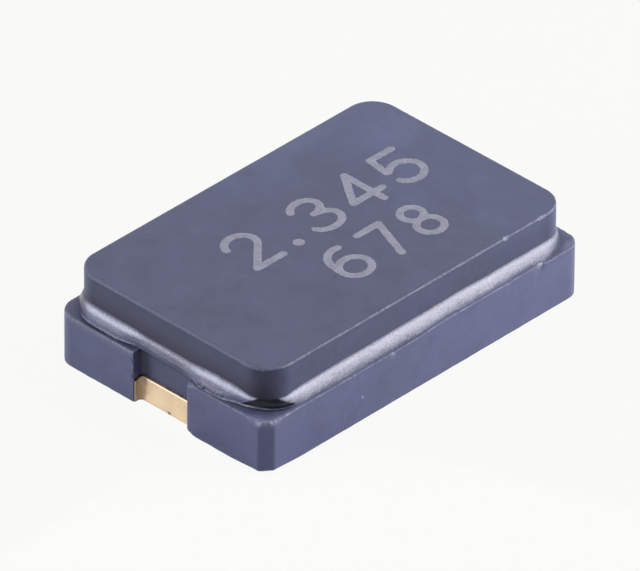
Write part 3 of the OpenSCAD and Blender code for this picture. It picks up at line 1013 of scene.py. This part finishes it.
# The section from the lid's side down to the rim: out in shares of the bulge, up in shares of the climb
BEAD_SECTION = [
    (-0.3, 1.06), (0.02, 1.0), (0.10, 0.95), (0.23, 0.88), (0.37, 0.80), (0.50, 0.71), (0.62, 0.62),
    (0.73, 0.53), (0.82, 0.44), (0.89, 0.35), (0.93, 0.27), (0.92, 0.19), (0.93, 0.12), (1.0, 0.06)]
# Under the rim it draws in again: in by shares of the undercut, up in shares of the rim's height
BEAD_UNDERCUT = [(-0.03, 0.75), (0.04, 0.45), (0.34, 0.25), (0.58, 0.04)]
# The greatest distance of the undercut from the lid's side
UNDERCUT_REACH = 0.108
# How thin the glass is on the first rings, and by how much thinner at the near end
BEAD_FADE = np.array([[1.0, 0.88, 0.62, 0.34, 0.10, 0.0], [0.0, 0.06, 0.14, 0.16, 0.14, 0.05]])
LID_CORNER = (LID_LOW[0], LID_LOW[1])


def glass_drop(name):
    """A drop of glass that ran over the base's front edge: an ellipsoid in rings about its long axis."""
    middle = np.array([DROP_X, -1.570, 0.657])
    reach = np.array([0.078, 0.028, 0.038])
    tilt, turn = np.meshgrid(np.linspace(0, np.pi, 25), np.linspace(0, 2 * np.pi, 41)[:-1], indexing="ij")
    ball = np.stack([np.cos(tilt), np.sin(tilt) * np.cos(turn), np.sin(tilt) * np.sin(turn)], -1)
    rings = middle + reach * ball * (1 + 0.05 * ripple(ball, 1.0, 61, 2))[..., None]
    layers = {key: np.zeros(rings.shape[:2]) for key in ("clear", "fade", "painted_highlight", "matt", "bluish")}
    layers["pale"] = np.full(rings.shape[:2], 0.36)
    return carried(name, rings, layers)


def bead_zones(side, normals):
    """Stretches of the bead's way around the lid, each 1 inside and 0 outside."""
    x, y = side[:, 0], side[:, 1]
    end = smooth(-normals[:, 0], 0.4, 0.9)
    corner = near(side, LID_CORNER, 0.55, 0.14)
    return SimpleNamespace(
        end=end,
        corner=corner,
        front=smooth(-normals[:, 1], 0.5, 0.9) * (1 - corner),
        over_notch=smooth(np.abs(y), 0.55, 0.3) * end,
        shelf=band(y, -1.25, -1.0, -0.5, -0.38) * end,
        belly=band(y, -1.05, -0.85, -0.58, -0.45) * end,
        drop=np.exp(-((x - 1.80) / 0.05) ** 2) * (y < 0),
        past_drop=smooth(x, 1.88, 2.05),
        right=smooth(x, 1.95, 2.25),
        back_left=smooth(y, 1.12, 1.35) * smooth(x, -1.9, -2.1))


def bead_rings(side, normals, zone, s):
    """Rings of the bead from the lid's side out and down, under its rim, and round under the lid.

    Each ring follows the lid's outline at a distance, so the bulge, the climb and the rim may change
    along the way.
    """
    floor = SEAL_LOW[2]
    at = ring(side, floor)
    x, y = side[:, 0], side[:, 1]
    spread = 0.054 * band(y, 0.38, 0.75, 1.05, 1.45) + 0.048 * band(y, -1.25, -0.75, -0.6, -0.2)
    bulge = s.bulge * (1 + 0.03 * ripple(at, 0.7, 51, 3)) + zone.end * (spread - 0.020)
    bulge *= 1 - 0.36 * smooth(x, 1.88, 2.08)
    bulge *= 1 - 0.55 * zone.corner
    climb = s.climb * (1 + 0.02 * ripple(at, 0.9, 52, 3)) * (1 + 0.01 * zone.end) * (1 - 0.20 * zone.corner)
    climb *= 1 + 0.025 * zone.end * smooth(np.abs(y), 0.40, 0.70)
    climb *= 1 + 0.055 * smooth(x, -1.5, 0.0) - 0.10 * zone.over_notch
    rim = s.rim * (0.4 + 0.1 * ripple(at, 0.25, 55, 3) + 1.7 * zone.corner)
    rim += 0.011 * zone.end * (1 - 0.6 * zone.shelf)
    rim *= 1 - 0.8 * zone.past_drop
    rings = []
    for share_out, share_up in BEAD_SECTION:
        wobble = 0.0012 * ripple(at + np.array([0, 0, share_up * 0.3]), 0.1, 54, 3)
        reach = bulge * share_out + wobble * (share_out > 0.3)
        # A drop hangs over the front edge, and the belly's foot spreads between notch and front corner
        low = smooth(share_up, 0.40, 0.15)
        reach = reach + low * (0.008 * zone.drop + zone.belly * (0.026 + 0.006 * ripple(at, 0.09, 57, 3)))
        rings.append(ring(side + normals * reach[:, None], floor + rim + (climb - rim) * share_up))
    # The undercut leaves a dark gap over the base, except along the front
    under = (0.25 + 0.65 * zone.corner - 0.65 * zone.front) * (1 - 0.8 * zone.belly)
    for share_in, share_rim in BEAD_UNDERCUT:
        reach = np.minimum(bulge * (1 - share_in * under), UNDERCUT_REACH)
        reach += 0.008 * zone.drop + 0.026 * zone.belly
        rings.append(ring(side + normals * reach[:, None], floor + rim * share_rim))
    hollow, _ = rectangle(*HOLLOW, BEAD_COUNTS, BEAD_ARC)
    rings.append(ring(side + normals * 0.02, floor + 0.001))
    rings.append(ring(hollow, floor + 0.001))
    rings.append(ring(hollow, LID_LOW[2] - 0.001))
    rings.append(ring(side - normals * 0.02, LID_LOW[2] - 0.001))
    return np.array(rings)


def bead_painted_black(rings, side, zone, c):
    """1 where a painted black reflection darkens the glass: a lens about the front corner, and painted
    darker on thin feet.
    """
    x, y = side[:, 0], side[:, 1]
    z = rings[..., 2]
    turn = np.degrees(np.arctan2(-y - (LID_HIGH[1] - c.lid_corner), -x - (LID_HIGH[0] - c.lid_corner)))
    slant = 26 * np.clip((z - 0.70) / 0.10, -0.2, 1.2)
    lens = band(turn, -6 + slant, -2 + slant, 92 - slant, 96 - slant) * smooth(z, 0.692, 0.698)
    # At the corners on either side, where the glass is thin, and less at the belly, it is painted half black
    # toward its foot
    thin = 0.6 * smooth(y, 1.1, 1.33) * smooth(x, -1.9, -2.1)
    thin = thin + 0.45 * smooth(x, 1.95, 2.2) * smooth(z, 0.79, 0.73)
    thin = np.maximum(thin, 0.30 * zone.belly * smooth(z, 0.755, 0.725))
    on_face = np.arange(len(rings)) < len(BEAD_SECTION)
    return np.maximum(lens, thin) * on_face[:, None]


def bead_painted_light(height, side, zone):
    """Painted light and shade on the glass: darker toward its foot, over the notch, at the belly and at the
    far corners.
    """
    x, y = side[:, 0], side[:, 1]
    by_corner = smooth(y, -0.80, -0.95)
    at_end = smooth(height, 0.45 - 0.12 * by_corner, 0.82)
    elsewhere = 0.34 + 0.60 * np.clip(height / 0.72, 0, 1)
    pale = zone.end * at_end + (1 - zone.end) * elsewhere
    pale *= 1 - 0.42 * zone.over_notch
    pale *= 1 - 0.12 * smooth(x, 0.3, 1.6) * smooth(height, 0.75, 0.45)
    pale *= 1 - 0.25 * zone.back_left
    pale *= 1 - 0.65 * zone.right
    pale *= 1 - 0.2 * zone.drop * smooth(height, 0.5, 0.3)
    pale -= 0.28 * zone.belly * smooth(height, 0.50, 0.32)
    # A painted pale line along the rim, and a little painted light under it at the near end
    rim = 0.24 + 0.12 * zone.end * (1 - 0.9 * zone.over_notch) * (1 - 0.4 * zone.shelf) - 0.06 * zone.corner
    rim += 0.40 * zone.end * by_corner
    rim *= (1 - 0.9 * zone.past_drop) * (1 - 1.3 * zone.over_notch)
    count = len(BEAD_SECTION)
    pale[count - 1:count + 1] = rim
    pale[count + 1:count + 3] = 0.14 * zone.end * (1 - zone.over_notch)
    return pale


def bead_painted_highlight(height, side, zone):
    """Painted highlight where the glass is brightest: high up, at the near end and on either side of the
    painted black lens.
    """
    from_lens = np.abs(np.hypot(side[:, 0] - LID_CORNER[0], side[:, 1] - LID_CORNER[1]) - 0.42)
    painted_highlight = np.maximum(0.5 * smooth(from_lens, 0.4, 0.0), 0.94 * zone.end * (1 - 0.9 * zone.over_notch))
    painted_highlight = (painted_highlight + 0.16 * (1 - zone.end)) * band(height, 0.55, 0.75, 0.95, 1.1)
    return painted_highlight * (1 - zone.back_left) * (1 - zone.right)


def bead_marks(rings, side, zone, c):
    """What the glass looks like at each point of the bead."""
    count = len(BEAD_SECTION)
    height = np.zeros((len(rings), 1))
    height[:count, 0] = [share_up for _, share_up in BEAD_SECTION]
    fade = np.zeros(rings.shape[:2])
    fade[:BEAD_FADE.shape[1]] = BEAD_FADE[0][:, None] + BEAD_FADE[1][:, None] * zone.end
    # The rim is rough where it melts into the base, so it doesn't mirror the floor there
    matt = np.zeros(rings.shape[:2])
    matt[count - 3:] = np.maximum(np.maximum(zone.over_notch, 0.3 * zone.shelf), 0.5 * (1 - zone.end))
    return {
        "clear": bead_painted_black(rings, side, zone, c),
        "fade": fade,
        "pale": bead_painted_light(height, side, zone),
        "painted_highlight": bead_painted_highlight(height, side, zone),
        "matt": matt,
        "bluish": np.broadcast_to(zone.end * (1 - 0.7 * zone.over_notch), rings.shape[:2]),
    }


class CRYSTAL_OT_seal(bpy.types.Operator):
    """Build the sealing glass: a ring under the lid and an uneven bead around its side"""
    bl_idname = "crystal.seal"
    bl_label = "Sealing glass"

    def execute(self, context):
        c = context.scene.crystal_ceramic
        s = context.scene.crystal_seal
        side, normals = lid_outline(c, BEAD_COUNTS, BEAD_ARC)
        zone = bead_zones(side, normals)
        rings = bead_rings(side, normals, zone, s)
        seal = carried("seal_bead", rings, bead_marks(rings, side, zone, c), closed=True)
        glass = glass_material("sealing_glass", s.colour, s.low_colour, c.colour)
        finish_piece(seal, glass, "seal_glass", "glass_seal")
        finish_piece(glass_drop("glass_drop"), glass, "seal_glass")
        return {"FINISHED"}


# The plated notches

# Half the length, half the width and the corner radius of a solder pad, and the height of its lower face
PAD = (0.585, 1.1, 0.1)
PAD_BOTTOM = node_box("terminal_left")[0][2]
# Above this height a lining's section follows the droop of its upper edge
DROOP_FROM = 0.25


def notch_lining(c, p, side):
    """The part of the base's outline that runs round one notch in the sheet, and its outward normals."""
    outline, normals = base_outline(c, p, p.sheet_depth)
    inside = np.abs(outline[:, 1]) < p.notch_width / 2 + 1e-6
    inside &= side * outline[:, 0] > 0
    # It stops where the rounding of the mouth begins
    rounding = np.where(outline[:, 1] * side < 0, 0.008, 0.06)
    inside &= np.abs(outline[:, 0]) < BASE_HIGH[0] - rounding
    return outline[inside], normals[inside]


def lining_rings(wall, inward, p):
    """Open rings up a lining's face, over its rounded edge, back along the step and down behind it.

    The upper edge droops toward the notch's mouth.
    """
    t = p.thickness
    lower = FOOT + 0.003
    ledge = SHEET_TOP + t
    round_r = t * 0.9
    angles = np.linspace(0, np.pi / 2, 6)
    section = [(t * 0.6, lower - 0.002), (t, lower + 0.002)]
    section += [(t, z) for z in (0.030, 0.050, 0.2, ledge - round_r - 0.012)]
    section += [(t - round_r * (1 - np.cos(a)), ledge - round_r * (1 - np.sin(a))) for a in angles]
    droop = 0.034 * smooth(np.abs(wall[:, 0]), BASE_HIGH[0] - p.sheet_depth, BASE_HIGH[0] - 0.05)
    rings = [ring(wall + inward * out, z - droop * (z > DROOP_FROM)) for out, z in section]
    # The step is as deep as the wall's notch is deeper than the sheet's, along the notch's back
    on_back = smooth(np.abs(wall[:, 1]), p.notch_width / 2 - 0.005, p.notch_width / 2 - 0.06)
    behind = wall - inward * ((p.wall_depth - p.sheet_depth) * on_back)[:, None]
    rings.append(ring(behind, ledge - droop))
    rings.append(ring(behind, SHEET_TOP + 0.0005))
    rings.append(ring(wall, SHEET_TOP + 0.0005))
    rings.append(ring(wall, lower - 0.002))
    return np.array(rings)


def lining_marks(wall, rows, p):
    """Stains and painted shadow, the bright upper edge and the duller, painted-shaded side walls of a
    lining, by the number of its ring.
    """
    walls = smooth(np.abs(wall[:, 1]), 0.29, 0.38)
    stain_and_shadow = np.zeros((rows, len(wall)))
    stain_and_shadow[-5:-2] = 0.9
    stain_and_shadow[:8] = 0.12 * walls
    # A painted shadow along the lower edge
    stain_and_shadow[:2] += 0.25
    stain_and_shadow[:3] += 0.9 * chip(wall, -BASE_HIGH[0] + p.sheet_depth, -0.04, 0.034)
    stain_and_shadow[5:10] += 0.45 * smooth(np.abs(wall[:, 1] - 0.335), 0.06, 0.02)
    glint = np.zeros((rows, len(wall)))
    glint[6:10] = 0.36 * (1 - walls)
    return {"stain_and_shadow": stain_and_shadow, "glint": glint, "dull_and_shaded": np.broadcast_to(walls, (rows, len(wall)))}


def lining(name, rings, marks):
    """A lining's surface: its closed sections side by side, with a fan over the section at each end."""
    rows, columns = rings.shape[:2]
    index = np.arange(rows * columns).reshape(rows, columns)
    index = np.concatenate([index, index[:1]])
    low, high = index[:-1], index[1:]
    quads = [np.stack([low[:, :-1], low[:, 1:], high[:, 1:], high[:, :-1]], -1).reshape(-1, 4)]
    hubs = []
    for column in (0, columns - 1):
        loop = index[:-1, column]
        hub = np.full(rows, rows * columns + len(hubs))
        hubs.append(rings[[0, 5, rows - 2], column].mean(0))
        fan = np.stack([loop, np.roll(loop, -1), hub, hub], -1)
        quads.append(fan if column else fan[:, [1, 0, 2, 3]])
    vertices = np.concatenate([rings.reshape(-1, 3), np.array(hubs)])
    marks = {key: np.append(values.reshape(-1), [0.0, 0.0]) for key, values in marks.items()}
    return make_mesh(name, vertices, np.concatenate(quads), marks)


def solder_pad(name, p, side):
    """Thin plate under the base, whose outer end lies behind the lining, with rounded lower edges."""
    t = p.thickness
    outline, normals = rectangle(*PAD, [40, 60, 40, 60], 10)
    middle = np.array([side * (BASE_HIGH[0] - p.sheet_depth - t - PAD[0]), 0.0])
    outline = outline + middle
    centre = np.broadcast_to(middle, outline.shape)
    rings = [ring(centre, PAD_BOTTOM), ring(outline - normals * 0.03, PAD_BOTTOM)]
    rings += lower_edge_rings(outline, normals, PAD_BOTTOM, np.full(len(outline), t * 0.7), 5)
    rings += [ring(outline, PAD_BOTTOM + t), ring(centre, PAD_BOTTOM + t)]
    rings = np.array(rings)
    plain = np.zeros(rings.shape[:2])
    # Painted shade over the whole pad
    return carried(name, rings, {"stain_and_shadow": plain + 0.3, "glint": plain, "dull_and_shaded": plain})


def terminal(name, c, p, side, material):
    """Lining of one notch with a rounded upper edge and a step, over a thin pad under the base."""
    wall, inward = notch_lining(c, p, side)
    rings = lining_rings(wall, inward, p)
    marks = lining_marks(wall, len(rings), p)
    finish_piece(lining(name + "_lining", rings, marks), material, "gold_plating")
    finish_piece(solder_pad(name + "_pad", p, side), material, "gold_plating", name)


class CRYSTAL_OT_terminals(bpy.types.Operator):
    """Build the gold-plated linings of the notches and the solder pads"""
    bl_idname = "crystal.terminals"
    bl_label = "Terminals"

    def execute(self, context):
        c = context.scene.crystal_ceramic
        p = context.scene.crystal_plating
        gold = gold_material("gold_plating", p.colour)
        terminal("terminal_left", c, p, -1, gold)
        terminal("terminal_right", c, p, 1, gold)
        return {"FINISHED"}


# The marking

# Boxes of the digits on the lid's top: x and y of their lower left and upper right corners
DIGIT_BOXES = {
    "2": (-1.06, -0.03, -0.50, 0.68), "3": (-0.07, -0.06, 0.51, 0.64), "4": (0.59, -0.06, 1.17, 0.64),
    "5": (1.24, -0.06, 1.82, 0.64), "6": (-0.47, -0.93, 0.08, -0.27), "7": (0.17, -0.93, 0.64, -0.27),
    "8": (0.73, -0.93, 1.19, -0.27)}
# The dot after the first digit: its box, and its middle and radius
DOT_BOX = (-0.38, -0.03, -0.22, 0.13)
DOT = (-0.30, 0.047, 0.067)
# The marking's top and the thickness of its skin
MARK_TOP = LID_HIGH[2] - 0.0003
MARK_SKIN = 0.003


def arc_line(cx, cy, rx, ry, start, stop, count):
    """Points on an ellipse's arc, with angles in degrees."""
    angle = np.radians(np.linspace(start, stop, count))
    return np.stack([cx + rx * np.cos(angle), cy + ry * np.sin(angle)], 1)


def digit_lines(digit):
    """Stroke lines of a plain digit in a box 1 wide and 1 high."""
    return {
        "2": [np.concatenate([arc_line(0.5, 0.72, 0.42, 0.28, 170, -35, 18),
                              [[0.08, 0.0], [0.94, 0.0]]])],
        "3": [arc_line(0.48, 0.765, 0.38, 0.235, 160, -90, 18),
              arc_line(0.48, 0.265, 0.44, 0.265, 90, -160, 18)],
        "4": [np.array([[0.98, 0.26], [0.04, 0.26], [0.70, 1.0], [0.70, 0.0]])],
        "5": [np.concatenate([[[0.88, 1.0], [0.20, 1.0], [0.12, 0.52]],
                              arc_line(0.50, 0.31, 0.42, 0.31, 140, -155, 20)])],
        "6": [np.concatenate([arc_line(0.62, 0.52, 0.52, 0.48, 75, 180, 14),
                              arc_line(0.5, 0.31, 0.42, 0.31, 180, -180, 24)])],
        "7": [np.array([[0.06, 1.0], [0.94, 1.0], [0.36, 0.0]])],
        "8": [arc_line(0.5, 0.765, 0.36, 0.235, 0, 360, 24),
              arc_line(0.5, 0.265, 0.43, 0.265, 0, 360, 24)],
    }[digit]


def line_distance(points, line):
    """Distance of points from a bent line: the least distance from any of its straight pieces."""
    start, end = line[:-1], line[1:]
    run = end - start
    length = (run ** 2).sum(1)
    away = points[:, None] - start[None]
    share = np.clip((away * run).sum(-1) / np.maximum(length, 1e-12), 0, 1)
    return np.linalg.norm(away - run * share[..., None], axis=-1).min(1)


def stroke_distance(points, lines, dots, width):
    """Distance from the outline of strokes and dots, less than 0 inside, with a slightly uneven edge."""
    away = np.full(len(points), np.inf)
    for line in lines:
        away = np.minimum(away, line_distance(points, line) - width / 2)
    for x, y, radius in dots:
        away = np.minimum(away, np.hypot(points[:, 0] - x, points[:, 1] - y) - radius)
    return away + 0.0035 * ripple(points, 0.05, 71, 2)


def mark_sheet(box, lines, dots, width, cell):
    """Faces of a fine grid inside the strokes, with the points at their outline moved onto it."""
    x0, y0, x1, y1 = box
    gx = np.arange(x0 - width, x1 + width, cell)
    gy = np.arange(y0 - width, y1 + width, cell)
    grid = np.stack(np.meshgrid(gx, gy, indexing="ij"), -1)
    flat = grid.reshape(-1, 2)
    value = stroke_distance(flat, lines, dots, width)
    step = 1e-3
    slope = [stroke_distance(flat + aside, lines, dots, width) - value for aside in ([step, 0], [0, step])]
    slope = np.stack(slope, 1) / step
    slope /= np.maximum(np.linalg.norm(slope, axis=1, keepdims=True), 1e-6)
    at_edge = np.abs(value) < cell * 0.75
    flat = np.where(at_edge[:, None], flat - slope * value[:, None], flat)
    inside = (np.where(at_edge, 0.0, value) <= 0).reshape(grid.shape[:2])
    index = np.arange(inside.size).reshape(inside.shape)
    quads = np.stack([index[:-1, :-1], index[1:, :-1], index[1:, 1:], index[:-1, 1:]], -1)
    quads = quads[inside[:-1, :-1] & inside[1:, :-1] & inside[1:, 1:] & inside[:-1, 1:]]
    # A face that the move has folded over or squeezed flat is left out
    across = flat[quads[:, 2]] - flat[quads[:, 0]]
    back = flat[quads[:, 3]] - flat[quads[:, 1]]
    quads = quads[across[:, 0] * back[:, 1] - across[:, 1] * back[:, 0] > 0.1 * cell ** 2]
    used, quads = np.unique(quads, return_inverse=True)
    return ring(flat[used], MARK_TOP), quads.reshape(-1, 4)


class CRYSTAL_OT_marking(bpy.types.Operator):
    """Lay two rows of plain digits on the lid"""
    bl_idname = "crystal.marking"
    bl_label = "Marking"

    def execute(self, context):
        m = context.scene.crystal_marking
        c = context.scene.crystal_ceramic
        inset = m.stroke / 2
        sheets = []
        for digit, (x0, y0, x1, y1) in DIGIT_BOXES.items():
            scale = np.array([x1 - x0 - 2 * inset, y1 - y0 - 2 * inset])
            lines = [line * scale + [x0 + inset, y0 + inset] for line in digit_lines(digit)]
            sheets.append(mark_sheet((x0, y0, x1, y1), lines, [], m.stroke, m.cell))
        sheets.append(mark_sheet(DOT_BOX, [], [DOT], m.stroke, m.cell))
        starts = np.cumsum([0] + [len(points) for points, _ in sheets])
        vertices = np.concatenate([points for points, _ in sheets])
        faces = np.concatenate([quads + start for (_, quads), start in zip(sheets, starts)])
        marks = make_mesh("marking", vertices, faces)
        shell = marks.modifiers.new("thickness", "SOLIDIFY")
        shell.thickness = MARK_SKIN * MM
        shell.offset = -1.0
        marks.data.materials.append(marking_material("marking", m.colour, c.colour))
        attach(marks, "root")
        return {"FINISHED"}


# Hidden pieces

class CRYSTAL_OT_inner(bpy.types.Operator):
    """Give the pieces sealed inside the package their finishes"""
    bl_idname = "crystal.inner"
    bl_label = "Inner pieces"

    def execute(self, context):
        track = carried_material("printed_track", (0.52, 0.40, 0.22), 0.9, 0.5, 0.12, 0.004)
        pads = carried_material("carrier_gold", (0.80, 0.60, 0.30), 0.95, 0.4, 0.15, 0.004)
        paste = carried_material("silver_adhesive", (0.50, 0.50, 0.48), 0.35, 0.62, 0.06, 0.006)
        film = carried_material("silver_film", (0.78, 0.78, 0.78), 1.0, 0.28, 0.3, 0.001)
        quartz = quartz_material("quartz")
        finishes = {
            "feed_track_left": track, "feed_track_right": track,
            "carrier_pad_front": pads, "carrier_pad_back": pads,
            "adhesive_dot_front": paste, "adhesive_dot_back": paste,
            "quartz_plate": quartz, "upper_electrode": film, "lower_electrode": film,
        }
        for node, material in finishes.items():
            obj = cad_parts[node]
            obj.data.materials.clear()
            obj.data.materials.append(material)
        return {"FINISHED"}


# Stage

# Sides of the square floor
FLOOR_SIZE = 500.0
# The black card: azimuths and heights in degrees, and its distance from the object's middle
CARD_AZIMUTHS = (184, 290)
CARD_HEIGHTS = (0, 60)
CARD_DISTANCE = 90.0
# The photograph's camera: azimuth, elevation and roll in degrees, distance and aim in millimetres
CAMERA_AZIMUTH = -46.17
CAMERA_ELEVATION = 34.65
CAMERA_ROLL = 0.527
CAMERA_DISTANCE = 169.63
CAMERA_AIM = (0.0, 0.0, 0.615)
SENSOR_WIDTH = 36.0
# Where the aim lies in the picture, in pixels from its middle, and pixels in a millimetre there
AIM_OFFSET = (0.53, 7.31)
PIXELS_IN_MM = 91.42


def floor_material():
    """White floor that keeps the object's shadow and can be looked through from below."""
    r = Recipe("floor_white")
    r.set(Base_Color=(0.93, 0.93, 0.922, 1.0), Roughness=0.9)
    glow = r.node("ShaderNodeEmission", {"Color": BACKGROUND, "Strength": 1.0}).outputs[0]
    above = r.mix(r.times(r.in_view(), 0.975), r.shader.outputs["BSDF"], glow)
    below = r.node("ShaderNodeBsdfTransparent").outputs[0]
    from_below = r.node("ShaderNodeNewGeometry").outputs["Backfacing"]
    r.feed(r.out.inputs["Surface"], r.mix(from_below, above, below))
    return r.material


def stage_sheet(name, points, quads, material):
    """A sheet that belongs to the stage and not to the object."""
    obj = make_mesh(name, points, quads)
    obj.data.materials.append(material)
    return obj


def add_floor():
    """The white floor, a square of one face."""
    half = FLOOR_SIZE / 2
    square = np.array([(-half, -half), (half, -half), (half, half), (-half, half)])
    stage_sheet("floor", ring(square, 0.0), np.array([(0, 1, 2, 3)]), floor_material())


def add_black_card():
    """A curved black card in front, part of a sphere, which the camera looks through and surfaces mirror."""
    black = Recipe("black_card")
    black.set(Base_Color=(0.01, 0.01, 0.012, 1.0), Roughness=1.0)
    azimuths = np.radians(np.linspace(*CARD_AZIMUTHS, 25))
    heights = np.radians(np.linspace(*CARD_HEIGHTS, 13))
    azimuth, height = np.meshgrid(azimuths, heights, indexing="ij")
    flat = np.cos(height)
    points = np.stack([flat * np.cos(azimuth), flat * np.sin(azimuth), np.sin(height)], -1)
    index = np.arange(azimuth.size).reshape(azimuth.shape)
    quads = np.stack([index[:-1, :-1], index[:-1, 1:], index[1:, 1:], index[1:, :-1]], -1).reshape(-1, 4)
    card = stage_sheet("black_card", CARD_DISTANCE * points.reshape(-1, 3), quads, black.material)
    card.visible_camera = False


def add_grey_carpet():
    """A grey sheet on the floor from the base's front corner to the black card, which casts no shadow."""
    grey = Recipe("grey_card")
    grey.set(Base_Color=(0.78, 0.78, 0.80, 1.0), Roughness=1.0, Specular_IOR_Level=0.0)
    azimuth = np.radians(np.linspace(*CARD_AZIMUTHS, 3))
    outer = CARD_DISTANCE * np.stack([np.cos(azimuth), np.sin(azimuth)], 1)
    x, y = -BASE_HIGH[0] - 0.02, -BASE_HIGH[1] - 0.02
    inner = np.array([(x, -0.45), (x, y), (-1.4, y)])
    points = ring(np.concatenate([inner, outer]), 0.002)
    carpet = stage_sheet("grey_carpet", points, np.array([(0, 3, 4, 1), (1, 4, 5, 2)]), grey.material)
    carpet.visible_camera = False
    carpet.visible_shadow = False


def lamp(name, direction, distance, width, height, brightness):
    """An area lamp that faces the object, whose brightness is its own radiance where 1 is white."""
    data = bpy.data.lights.new(name, "AREA")
    data.shape = "RECTANGLE"
    data.size = width
    data.size_y = height
    data.energy = brightness * np.pi * width * height
    obj = bpy.data.objects.new(name, data)
    toward = Vector(direction).normalized()
    obj.location = toward * distance
    obj.rotation_mode = "QUATERNION"
    obj.rotation_quaternion = toward.to_track_quat("Z", "Y")
    obj.visible_camera = False
    bpy.context.scene.collection.objects.link(obj)


def add_camera(focal):
    """The camera, placed so that the aim lies at its measured offset from the middle, without lens shift."""
    a, e, roll = np.radians([CAMERA_AZIMUTH, CAMERA_ELEVATION, CAMERA_ROLL])
    back = np.array([np.sin(a) * np.cos(e), -np.cos(a) * np.cos(e), np.sin(e)])
    right = np.array([np.cos(a), np.sin(a), 0.0])
    up = np.cross(back, right)
    across = right * np.cos(roll) + up * np.sin(roll)
    upward = -right * np.sin(roll) + up * np.cos(roll)
    place = np.array(CAMERA_AIM) + back * CAMERA_DISTANCE
    place = place - across * AIM_OFFSET[0] / PIXELS_IN_MM - upward * AIM_OFFSET[1] / PIXELS_IN_MM
    data = bpy.data.cameras.new("camera")
    data.lens = focal
    data.sensor_width = SENSOR_WIDTH
    data.clip_start = 0.001
    data.clip_end = 10.0
    obj = bpy.data.objects.new("camera", data)
    matrix = np.eye(4)
    matrix[:3] = np.stack([across, upward, back, place * MM], 1)
    obj.matrix_world = Matrix(matrix.tolist())
    bpy.context.scene.collection.objects.link(obj)
    bpy.context.scene.camera = obj


def add_world(sky):
    """Surroundings that look white and light the object softly."""
    world = bpy.data.worlds.new("studio")
    bpy.context.scene.world = world
    world.use_nodes = True
    n = Nodes(world.node_tree)
    soft = n.node("ShaderNodeBackground", {"Color": (1.0, 1.0, 1.0, 1.0), "Strength": sky})
    white = n.node("ShaderNodeBackground", {"Color": BACKGROUND, "Strength": 1.0})
    surface = n.mix(n.in_view(), soft.outputs[0], white.outputs[0])
    n.node("ShaderNodeOutputWorld", {"Surface": surface})


class CRYSTAL_OT_stage(bpy.types.Operator):
    """Set the camera, the floor, the black card and the lamps"""
    bl_idname = "crystal.stage"
    bl_label = "Stage"

    def execute(self, context):
        s = context.scene.crystal_stage
        add_camera(s.focal)
        add_floor()
        add_black_card()
        add_grey_carpet()
        lamp("lamp_left", (-0.73, 0.49, 0.47), 0.05, 0.047, 0.036, s.left_light)
        lamp("lamp_right", (0.66, -0.60, 0.45), 0.05, 0.047, 0.036, s.right_light)
        lamp("lamp_back", (0.55, 0.5, 0.67), 0.1, 0.1, 0.1, s.back_light)
        add_world(s.sky)
        context.scene.view_settings.view_transform = "Standard"
        return {"FINISHED"}


class CRYSTAL_PT_build(bpy.types.Panel):
    """Build steps and settings"""
    bl_label = "Crystal package"
    bl_idname = "CRYSTAL_PT_build"
    bl_space_type = "VIEW_3D"
    bl_region_type = "UI"
    bl_category = "Crystal"

    def draw(self, context):
        for step in STEPS:
            self.layout.operator("crystal." + step)
        for key, group in SETTINGS.items():
            box = self.layout.box()
            for name in group.__annotations__:
                box.prop(getattr(context.scene, key), name)


STEPS = ["base", "lid", "seal", "terminals", "marking", "inner", "stage"]
OPERATORS = (
    CRYSTAL_OT_base, CRYSTAL_OT_lid, CRYSTAL_OT_seal, CRYSTAL_OT_terminals,
    CRYSTAL_OT_marking, CRYSTAL_OT_inner, CRYSTAL_OT_stage)


def register():
    """Registers the settings, operators and panel."""
    for group in SETTINGS.values():
        bpy.utils.register_class(group)
    for key, group in SETTINGS.items():
        setattr(bpy.types.Scene, key, PointerProperty(type=group))
    for cls in (*OPERATORS, CRYSTAL_PT_build):
        bpy.utils.register_class(cls)


def unregister():
    """Removes them again."""
    for cls in (CRYSTAL_PT_build, *reversed(OPERATORS)):
        bpy.utils.unregister_class(cls)
    for key in SETTINGS:
        delattr(bpy.types.Scene, key)
    for group in SETTINGS.values():
        bpy.utils.unregister_class(group)


def main():
    """Builds everything in order."""
    register()
    for step in STEPS:
        getattr(bpy.ops.crystal, step)()


if __name__ == "__main__":
    main()
